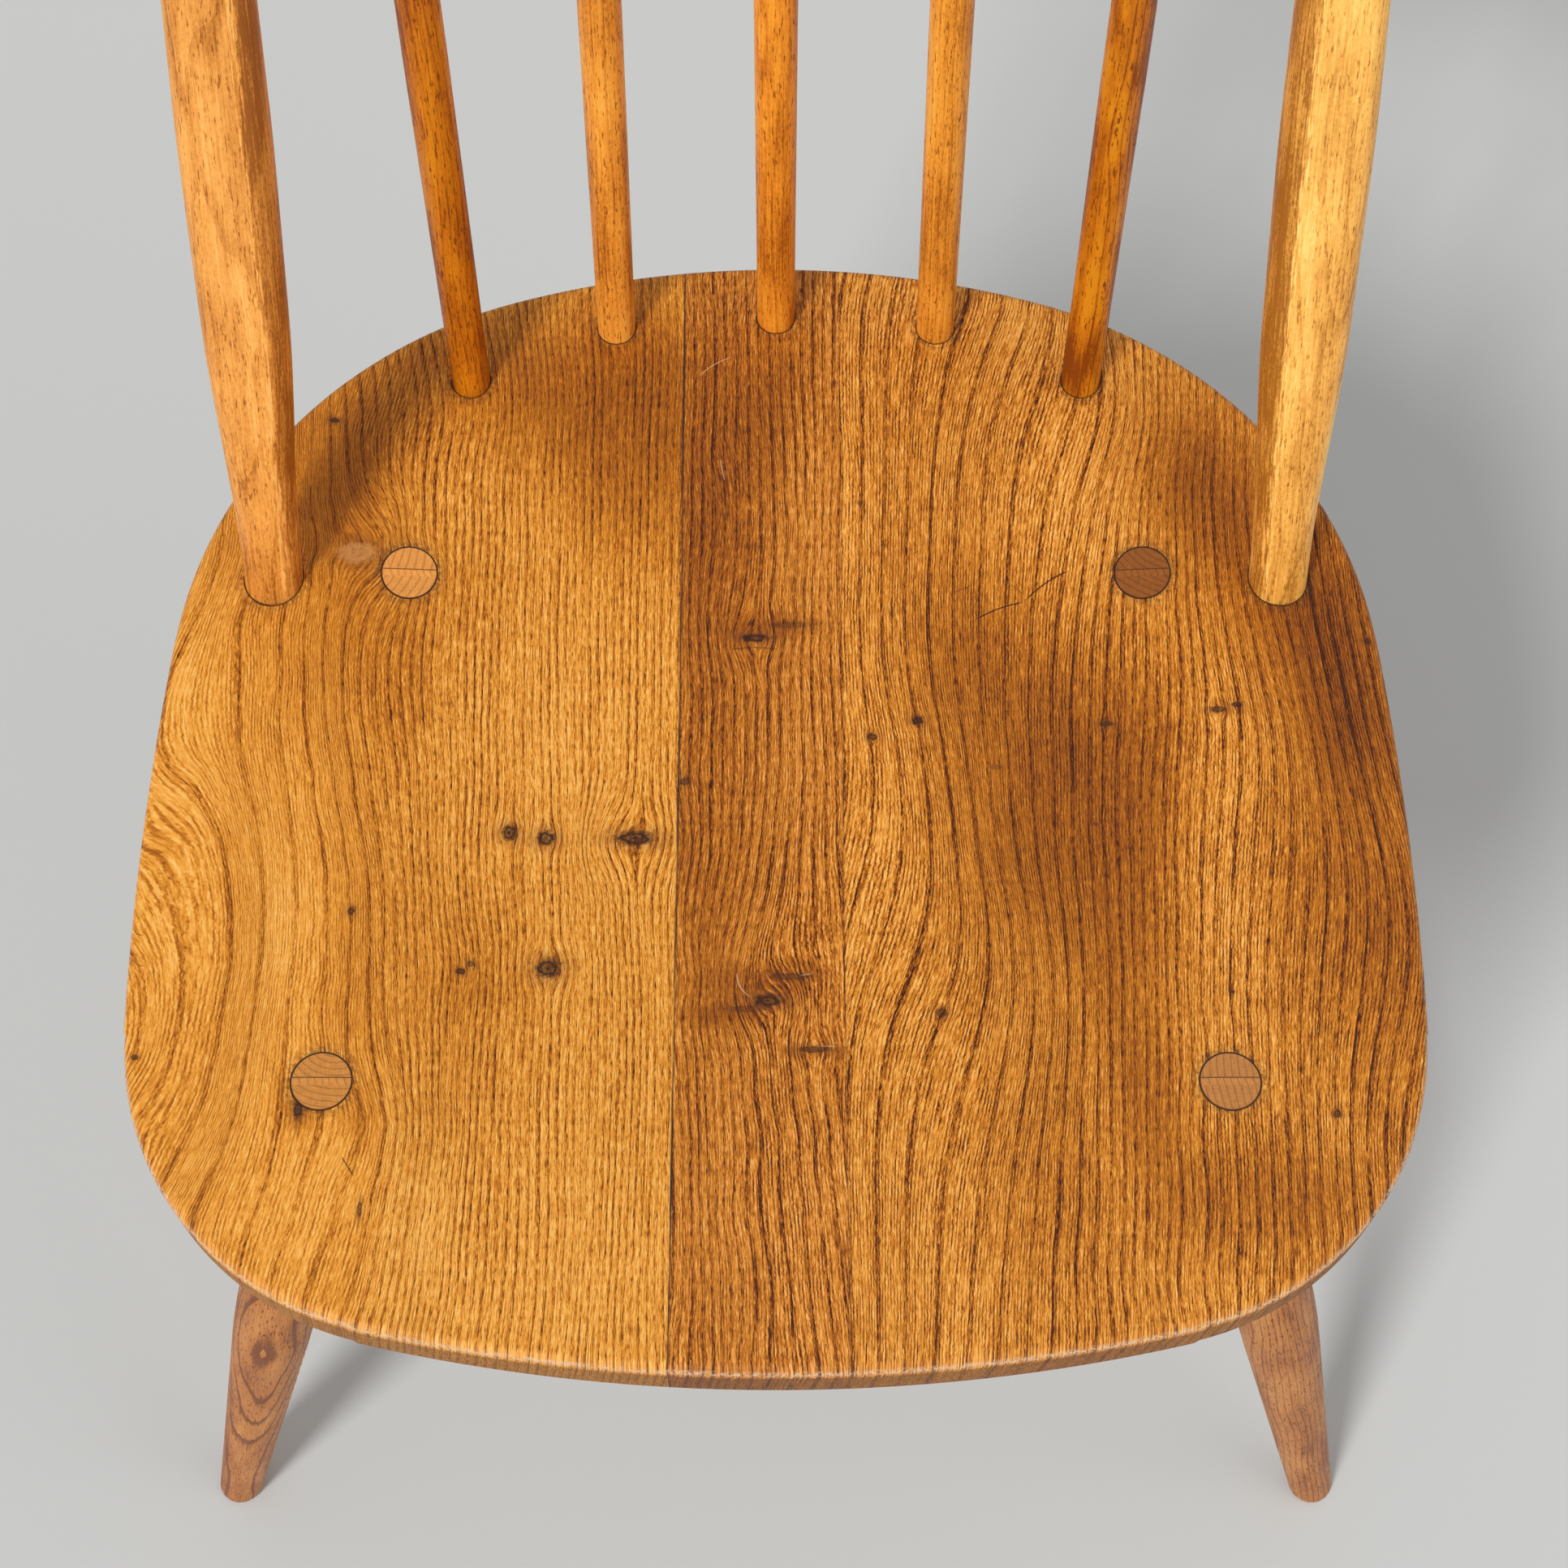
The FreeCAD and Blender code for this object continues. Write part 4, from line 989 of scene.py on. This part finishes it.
elmRanges = {
    # a value's range, and the new range where it isn't 0 to 1
    "springShare": (2.0, 8.0, 0.60, 0.26),
    "rise": (0.0, 0.06),
    "fading": (0.38, 0.60, 0.45, 1.1),
    "broken": (0.38, 0.58, 0.45, 1.2),
    "pores": (0.52, 0.66),
    "fine": (0.30, 0.95),
    "silk": (2.5, 6.0, 0.25, 1.0),
    "silkPatch": (0.36, 0.6, 0.2, 1.0),
    "glint": (0.54, 0.68),
    "bold": (2.4, 6.5, -0.25, -0.32),
    "side": (1.5, 7.0, 1.0, 0.5),
    "crack": (0.12, 0.42, 1.0, 0.0),
    # the ring round each hole, grime with painted contact shade
    "grimeAndShadeRing": (0.3, 4.5, 0.55, 0.0),
    "grimeAndShadeRingBreaks": (0.35, 0.65),
    "seam": (0.16, 0.55, 1.0, 0.0),
    "seamBreaks": (0.35, 0.6, 0.45, 1.0),
    "seamSide": (-0.01, 0.01, 1.0, 0.3),
    "under": (3.4, 6.0, 0.0, 0.6),
    "underBreaks": (0.2, 0.7, 0.5, 1.0),
    "frontward": (-0.06, -0.17),
    "rim": (0.1, 1.7, 1.0, 0.0),
    "rimFoot": (1.6, 3.6, 1.0, 0.0),
    "rubbed": (0.43, 0.56, 0.1, 1.0),
}

# Scratches and splits: start, end and sideways bow in the photo's pixels, width in millimetres, strength
marks = {
    "seat_board_left": [
        ((420, 1424), (436, 1450), 0, 0.5, 0.8), ((352, 1328), (372, 1345), 3, 0.4, 0.7),
        ((428, 684), (453, 681), -4, 0.5, 0.7), ((417, 685), (464, 680), -12, 0.6, 0.4),
        ((417, 685), (464, 680), 11, 0.6, 0.35), ((424, 684), (458, 681), 6, 0.5, 0.3),
        ((165, 1143), (178, 1152), -4, 0.4, 0.7), ((165, 1180), (178, 1190), -4, 0.4, 0.7),
    ],
    "seat_board_middle": [
        ((860, 465), (902, 440), 4, 0.4, -0.5), ((887, 565), (893, 593), 0, 0.4, -0.5),
        ((897, 801), (960, 800), 3, 0.5, 0.7), ((1003, 1292), (1032, 1290), 2, 0.5, -0.5),
        ((985, 1202), (1000, 1200), 0, 0.6, -0.7), ((908, 1197), (927, 1230), -6, 0.6, -0.5),
    ],
    "seat_board_right": [
        ((1200, 765), (1262, 742), 4, 0.6, 1.0), ((1262, 742), (1320, 702), 5, 0.6, 1.0),
        ((1235, 715), (1262, 735), 2, 0.35, 0.6), ((1175, 730), (1200, 720), 0, 0.35, 0.6),
        ((1500, 1358), (1530, 1350), 0, 0.4, -0.6), ((1080, 560), (1112, 640), 6, 0.3, 0.4),
    ],
}

knotLook = {"rough": 1.1, "core": (0.75, 1.2), "deepen": 1.15, "rings": 11, "ringShare": 0.16,
            "halo": (0.9, 2.6), "haloShare": 0.45}
lineLook = {"core": 0.0002, "edge": 0.0006, "taper": (0.7, 1.0)}


# A knot's core and its darker surround, as shares
def knotMark(tree, x, y, rough, spot):
    a, d, wide, high, dark, _ = spot
    dark = abs(dark)
    u = (x - a) * (1 / wide)
    v = (y - (d + seat["front"])) * (1 / high)
    away = rough * knotLook["rough"] + calc(tree, "SQRT", u * u + v * v)
    core = remap(tree, away, *knotLook["core"], min(1.0, dark * knotLook["deepen"]), 0.0)
    share = knotLook["ringShare"]
    ringed = calc(tree, "COSINE", away * knotLook["rings"]) * share + (1 - share)
    return core * ringed, remap(tree, away, *knotLook["halo"], knotLook["haloShare"] * dark, 0.0)


# A fine line between two places of the photo, as a share
def lineMark(tree, x, y, start, end, bow, width):
    (ax, bx), (ay, by) = seatPlaces([start, end])
    ay, by = ay + seat["front"], by + seat["front"]
    length = math.hypot(bx - ax, by - ay)
    ux, uy = (bx - ax) / length, (by - ay) / length
    dx = x - (ax + bx) / 2
    dy = y - (ay + by) / 2
    share = (dx * ux + dy * uy) * (2 / length)
    arch = share * share * (bow * pixelSize) - bow * pixelSize
    away = abs(dx * -uy + dy * ux + arch)
    across = remap(tree, away, width * lineLook["core"], width * lineLook["edge"], 1.0, 0.0)
    return across * remap(tree, abs(share), *lineLook["taper"], 1.0, 0.0)


def elmMaterial(name, lines, spots, light, contrast, plain, cast, seed):
    paint, tree, shader = blankMaterial(name)
    place = objectPlace(tree)
    x, y, z = separate(tree, place)
    along = (y - z) * millimetres
    painted = ("span", "growth", "ringWidth", "tone", "gap", "joint", "inset", "drop")
    span, growth, width, tone, gap, joint, inset, drop = [attribute(tree, kind) for kind in painted]

    def grain(kind):
        acrossScale, alongScale, detail, rough, shift = elmGrain[kind]
        spot = vector(tree, span * acrossScale, along * alongScale, seed + shift)
        return noise(tree, spot, 1.0, detail, rough)

    def swing(kind):
        return grain(kind) - 0.5

    def fit(value, kind):
        return remap(tree, value, *elmRanges[kind])

    # Rings: dark porous spring wood that fades into the pale summer wood
    ring = growth + (swing("drift") * 1.1 + swing("waver") * 0.40) / width
    ringPlace = calc(tree, "FRACT", ring)
    ringTone = randomOf(tree, calc(tree, "FLOOR", ring), seed)
    spring = fit(ringPlace, "rise") * remap(tree, ringPlace, 0.05, fit(width, "springShare"), 1.0, 0.0)
    fading = fit(grain("fading"), "fading") * fit(grain("broken"), "broken")
    springDark = spring * fading * (ringTone * 0.55 + 0.55)

    # Pores: short dark dashes, thick in the spring wood
    poreDark = fit(grain("pores"), "pores") * (spring * 0.60 + 0.40)

    # Fine wavy lines of the summer wood, one to a millimetre, where the rings are wide
    lineCount = span + (swing("wander") * 1.3 + swing("wiggle") * 0.75)
    wave = calc(tree, "COSINE", lineCount * (2 * math.pi)) * 0.5 + 0.5
    lineDark = fit(wave, "fine") * fit(width, "silk") * fit(grain("silk"), "silkPatch")

    layers = {"pore": poreDark, "line": lineDark, "fibre": swing("fibre"), "streak": swing("streak"),
              "speck": swing("speck"), "glint": fit(grain("glint"), "glint")}
    pattern = springDark * fit(width, "bold") + elmLook["base"]
    for kind, layer in layers.items():
        pattern = layer * elmLook["weights"][kind] + pattern
    calm = remap(tree, tone, -0.28, 0.02, 0.60 * contrast, contrast) * fit(drop, "side")
    calm = calm * remap(tree, width, 3.0, 7.0, 1.0, plain)
    # tone brings in the patches, painted shadow and shade among them
    lightness = swing("cloud") * elmLook["cloud"] + (pattern * calm + light) + tone
    colour = tint(tree, "MULTIPLY", 1.0, ramp(tree, lightness, elmLook["colours"]), cast)

    # Scratches and splits, then knots
    rough = noise(tree, place, 620, 2, 0.6) - 0.5
    for start, end, bow, broad, strength in lines:
        mark = lineMark(tree, x, y, start, end, bow, broad) * abs(strength)
        colour = tint(tree, "MIX", mark, colour, elmLook["knot" if strength > 0 else "scratch"])
    core = pale = halo = 0.0
    for spot in spots:
        inner, outer = knotMark(tree, x, y, rough, spot)
        if spot[4] < 0:
            pale = larger(tree, pale, inner)
        else:
            core = larger(tree, core, inner)
        halo = larger(tree, halo, outer)
    for share, kind in ((halo, "halo"), (pale, "paleKnot"), (core, "knot")):
        colour = tint(tree, "MIX", share, colour, elmLook[kind])

    # Darkening: dirt in the hairline gaps and the joints, a broken ring round each hole that is part grime
    # and part painted contact shade, and a darker band down the edge below the rim
    uneven = grain("uneven")
    crack = fit(gap, "crack")
    grimeAndShadeRing = fit(gap, "grimeAndShadeRing") * fit(uneven, "grimeAndShadeRingBreaks")
    seam = fit(joint, "seam") * fit(grain("seam"), "seamBreaks") * fit(x, "seamSide")
    under = fit(drop, "under") * fit(uneven, "underBreaks")
    dirtAndShade = larger(tree, larger(tree, larger(tree, crack, grimeAndShadeRing), seam), under)
    colour = tint(tree, "MIX", dirtAndShade, colour, elmLook["dirtAndShade"])

    # Pale wear on the rim, most at the front
    rubbed = fit(noise(tree, place, 900, 4, 0.7), "rubbed")
    worn = fit(inset, "rim") * fit(drop, "rimFoot") * rubbed * (fit(y, "frontward") * 0.92 + 0.06)
    colour = tint(tree, "MIX", worn, colour, elmLook["worn"])

    gloss = poreDark * elmLook["glossOf"]["pore"] + elmLook["gloss"]
    gloss = grain("gloss") * elmLook["glossOf"]["gloss"] + gloss
    gloss = larger(tree, dirtAndShade, worn) * elmLook["glossOf"]["dirtAndShade"] + gloss
    height = springDark * elmLook["heights"]["spring"]
    for kind, layer in {**layers, "crack": crack}.items():
        if kind in elmLook["heights"]:
            height = layer * elmLook["heights"][kind] + height
    finishWith(tree, shader, colour, gloss, height, elmLook["relief"], elmLook["shine"])
    return paint


for board, (node, look) in zip(boards, boardLooks.items()):
    board.data.materials.clear()
    left, right = {"left": (-1, seat["joints"][0]), "middle": seat["joints"],
                   "right": (seat["joints"][1], 1)}[node.split("_")[-1]]
    own = [spot for spot in placedKnots if left <= spot[0] < right]
    board.data.materials.append(elmMaterial("elm_" + node, marks[node], own, **look))
print("elm finished")


turnedLooks = {
    # mid colour, pith place beside the piece in millimetres, seed, strength of rings, flecks and clouds
    "stick_1": ((0.58, 0.166, 0.002), (34, 12), 1.0, (0.34, 1.30, 2.6)),
    "stick_2": ((0.90, 0.345, 0.040), (-28, 22), 2.0, (0.24, 0.80, 1.6)),
    "stick_3": ((0.88, 0.305, 0.022), (18, 30), 3.0, (0.22, 0.75, 1.6)),
    "stick_4": ((0.90, 0.355, 0.038), (-36, 8), 4.0, (0.24, 0.75, 1.6)),
    "stick_5": ((0.60, 0.180, 0.003), (25, 25), 5.0, (0.55, 1.20, 4.4)),
    "left_post": ((0.86, 0.350, 0.062), (12, 48), 6.0, (0.22, 0.50, 1.5)),
    "right_post": ((0.96, 0.470, 0.090), (-20, 44), 7.0, (0.20, 0.42, 1.4)),
    "front_left_leg": ((0.50, 0.170, 0.027), (4, 15), 8.0, (0.85, 0.85, 1.7)),
    "front_right_leg": ((0.48, 0.164, 0.026), (40, 6), 9.0, (0.55, 0.85, 2.0)),
    "rear_left_leg": ((0.50, 0.180, 0.040), (-30, 16), 10.0, (0.30, 0.40, 1.4)),
    "rear_right_leg": ((0.46, 0.160, 0.036), (22, 30), 11.0, (0.30, 0.40, 1.4)),
    "left_side_stretcher": ((0.54, 0.205, 0.045), (20, 16), 12.0, (0.22, 0.40, 1.2)),
    "right_side_stretcher": ((0.50, 0.190, 0.042), (-14, 26), 13.0, (0.22, 0.40, 1.2)),
    "cross_stretcher": ((0.55, 0.210, 0.045), (10, -24), 14.0, (0.22, 0.40, 1.2)),
}
railLook = {"low": (0, 0.2, 0.728), "high": (1, 0.2, 0.728), "colour": (0.80, 0.36, 0.080), "pith": (10, 60),
            "seed": 15.0, "figure": (0.18, 0.25, 0.4)}
smallLook = {"low": (0, 0, 0.4), "high": (0, 0, 0.8), "colour": (0.66, 0.27, 0.060), "pith": (12, 9),
             "seed": 16.0}
wedgeLook = {"pith": (30, 12), "seed": 20.0, "lighter": 1.12}
tenonLooks = {
    # end grain colour of each leg's tenon
    "front_left_leg": (0.60, 0.240, 0.048),
    "front_right_leg": (0.50, 0.200, 0.050),
    "rear_left_leg": (0.76, 0.310, 0.065),
    "rear_right_leg": (0.29, 0.090, 0.014),
}
beechLook = {
    # lightness to shares of a piece's mid colour
    "stops": [(0.0, (0.42, 0.30, 0.15)), (0.30, (0.78, 0.70, 0.55)), (0.55, (1, 1, 1)),
              (0.80, (1.16, 1.28, 1.5)), (1.0, (1.25, 1.55, 2.3))],
    "base": 0.60,
    "lean": 14,
    "ringsPerMillimetre": 0.42,
    "fibre": 1.1,
    "speck": 0.8,
    "scuff": 0.55,
    "flatTurn": -0.55,
    "scuffMiddle": 1.3,
    "glueLine": (0.06, 0.025, 0.008),
    "slitPlace": 1.25,
    "relief": 0.00008,
    "shine": 0.32,
}
beechGrain = {
    # scale across and along the piece for each millimetre, detail, roughness, seed shift
    "lean": (0.02, 0.006, 2, 0.5, 3),
    "fleck": (1.5, 0.22, 2, 0.6, 9),
    "fibre": (1.6, 0.03, 3, 0.6, 13),
    "cloud": (0.08, 0.02, 3, 0.55, 17),
    "speck": (1.2, 0.6, 3, 0.7, 21),
    "scuff": (1.1, 0.07, 3, 0.65, 41),
    "gloss": (0.15, 0.08, 3, 0.6, 25),
}
beechRanges = {
    "ringLine": (0.70, 0.98),
    "fleck": (0.58, 0.68),
    "nearSeat": (10, 130, -0.13, 0.0),
    "flat": (0, 110, 8.4, 11.6, "LINEAR"),
    "corner": (0.0, 2.2, 0.0, -0.40),
    "scuffPlace": (0.4, 1.6, 1.0, 0.0),
    "scuff": (0.48, 0.57),
    "facingUp": (0.85, 0.92),
    "atTop": (0.40, 0.41),
    "arcs": (0.6, 0.95),
    "ringGap": (9.0, 9.35),
    "slit": (0.12, 0.34, 0.75, 0.0),
}


# Places in a piece's own frame, in millimetres, with Z along it
def ownPlace(tree, low, high):
    origin, turn, _ = axisFrame(low, high)
    back = turn.transposed()
    shift = -(back @ origin)
    mapping = tree.nodes.new("ShaderNodeMapping")
    plug(mapping.inputs["Vector"], objectPlace(tree))
    mapping.inputs["Location"].default_value = [value * millimetres for value in shift]
    mapping.inputs["Rotation"].default_value = back.to_euler()
    mapping.inputs["Scale"].default_value = (millimetres, millimetres, millimetres)
    return separate(tree, Wire(mapping.outputs[0]))


def beechMaterial(name, low, high, colour, pith, seed, figure=(0.2, 0.3, 0.9), tenon=None):
    ringShare, fleckShare, cloudShare = figure
    paint, tree, shader = blankMaterial(name)
    x, y, z = ownPlace(tree, low, high)

    def grain(kind):
        side, length, detail, rough, shift = beechGrain[kind]
        place = vector(tree, x * side + (seed * 7 + shift), y * side, z * length)
        return noise(tree, place, 1.0, detail, rough)

    def swing(kind):
        return grain(kind) - 0.5

    def fit(value, kind):
        return remap(tree, value, *beechRanges[kind])

    def length(first, second):
        return calc(tree, "SQRT", first * first + second * second)

    radius = length(x - pith[0], y - pith[1])
    leaning = radius + swing("lean") * beechLook["lean"]
    rings = calc(tree, "FRACT", leaning * beechLook["ringsPerMillimetre"])
    fleck = fit(grain("fleck"), "fleck")
    fibre = swing("fibre")
    light = fit(rings, "ringLine") * -ringShare + beechLook["base"]
    for layer, weight in ((fleck, -fleckShare), (fibre, beechLook["fibre"]), (swing("cloud"), cloudShare),
                          (swing("speck"), beechLook["speck"])):
        light = layer * weight + light
    if "post" in name or "stick" in name:
        # the wood darkens towards the seat
        light = light + fit(z, "nearSeat")
    if "post" in name:
        # and along the inner corner of the flat, where it is also scuffed pale
        inward = 1 if low[0] < 0 else -1
        corner = x * inward + y * beechLook["flatTurn"] - fit(z, "flat")
        light = light + fit(corner, "corner")
        scuffPlace = fit(abs(corner - beechLook["scuffMiddle"]), "scuffPlace")
        light = scuffPlace * fit(grain("scuff"), "scuff") * beechLook["scuff"] + light
    stops = [(place, tuple(min(1, value * share) for value, share in zip(colour, shares)))
             for place, shares in beechLook["stops"]]
    finish = ramp(tree, light, stops)
    if tenon:
        facing = separate(tree, makeNode(tree, "NewGeometry", output="Normal"))[2]
        cutEnd = fit(facing, "facingUp") * fit(separate(tree, objectPlace(tree))[2], "atTop")
        arcs = fit(rings, "arcs") * -0.30 + 1.0
        scratch = noise(tree, vector(tree, x * 0.3, y * 2.5, seed), 1.0, 3, 0.6)
        sawn = noise(tree, vector(tree, x * 1.6, y * 0.25, seed + 5), 1.0, 3, 0.6)
        shade = ((scratch + sawn) * 0.7 + 0.32) * arcs
        endGrain = tint(tree, "MULTIPLY", 1.0, tenon, vector(tree, shade, shade, shade))
        slitLine = fit(abs(y - beechLook["slitPlace"]), "slit")
        dark = larger(tree, fit(length(x, y), "ringGap"), slitLine)
        endGrain = tint(tree, "MIX", dark, endGrain, beechLook["glueLine"])
        finish = tint(tree, "MIX", cutEnd, finish, endGrain)
    gloss = fleck * 0.12 + (grain("gloss") * 0.22 + 0.34)
    height = fleck * -0.5 + fibre * 0.6
    finishWith(tree, shader, finish, gloss, height, beechLook["relief"], beechLook["shine"])
    return paint


def setOnly(piece, paint):
    if not piece.material_slots:
        piece.data.materials.append(paint)
    for slot in piece.material_slots:
        slot.material = paint


allAxes = {**legs, **sticks, **posts, **stretchers}
for node, look in turnedLooks.items():
    piece = postPieces.get(node, nodes[node])
    setOnly(piece, beechMaterial("beech_" + node, *allAxes[node], *look, tenonLooks.get(node)))
setOnly(nodes["crest_rail"], beechMaterial("beech_crest_rail", **railLook))
smallPaint = beechMaterial("beech_small", **smallLook)
for node, piece in nodes.items():
    if node.endswith("wedge") or node.endswith("peg"):
        setOnly(piece, smallPaint)
for node, tone in tenonLooks.items():
    wedgeTone = tuple(value * wedgeLook["lighter"] for value in tone)
    pith, seed = wedgeLook["pith"], wedgeLook["seed"]
    paint = beechMaterial("wedge_" + node, *legs[node], tone, pith, seed, tenon=wedgeTone)
    setOnly(nodes[node + "_wedge"], paint)
print("beech finished")
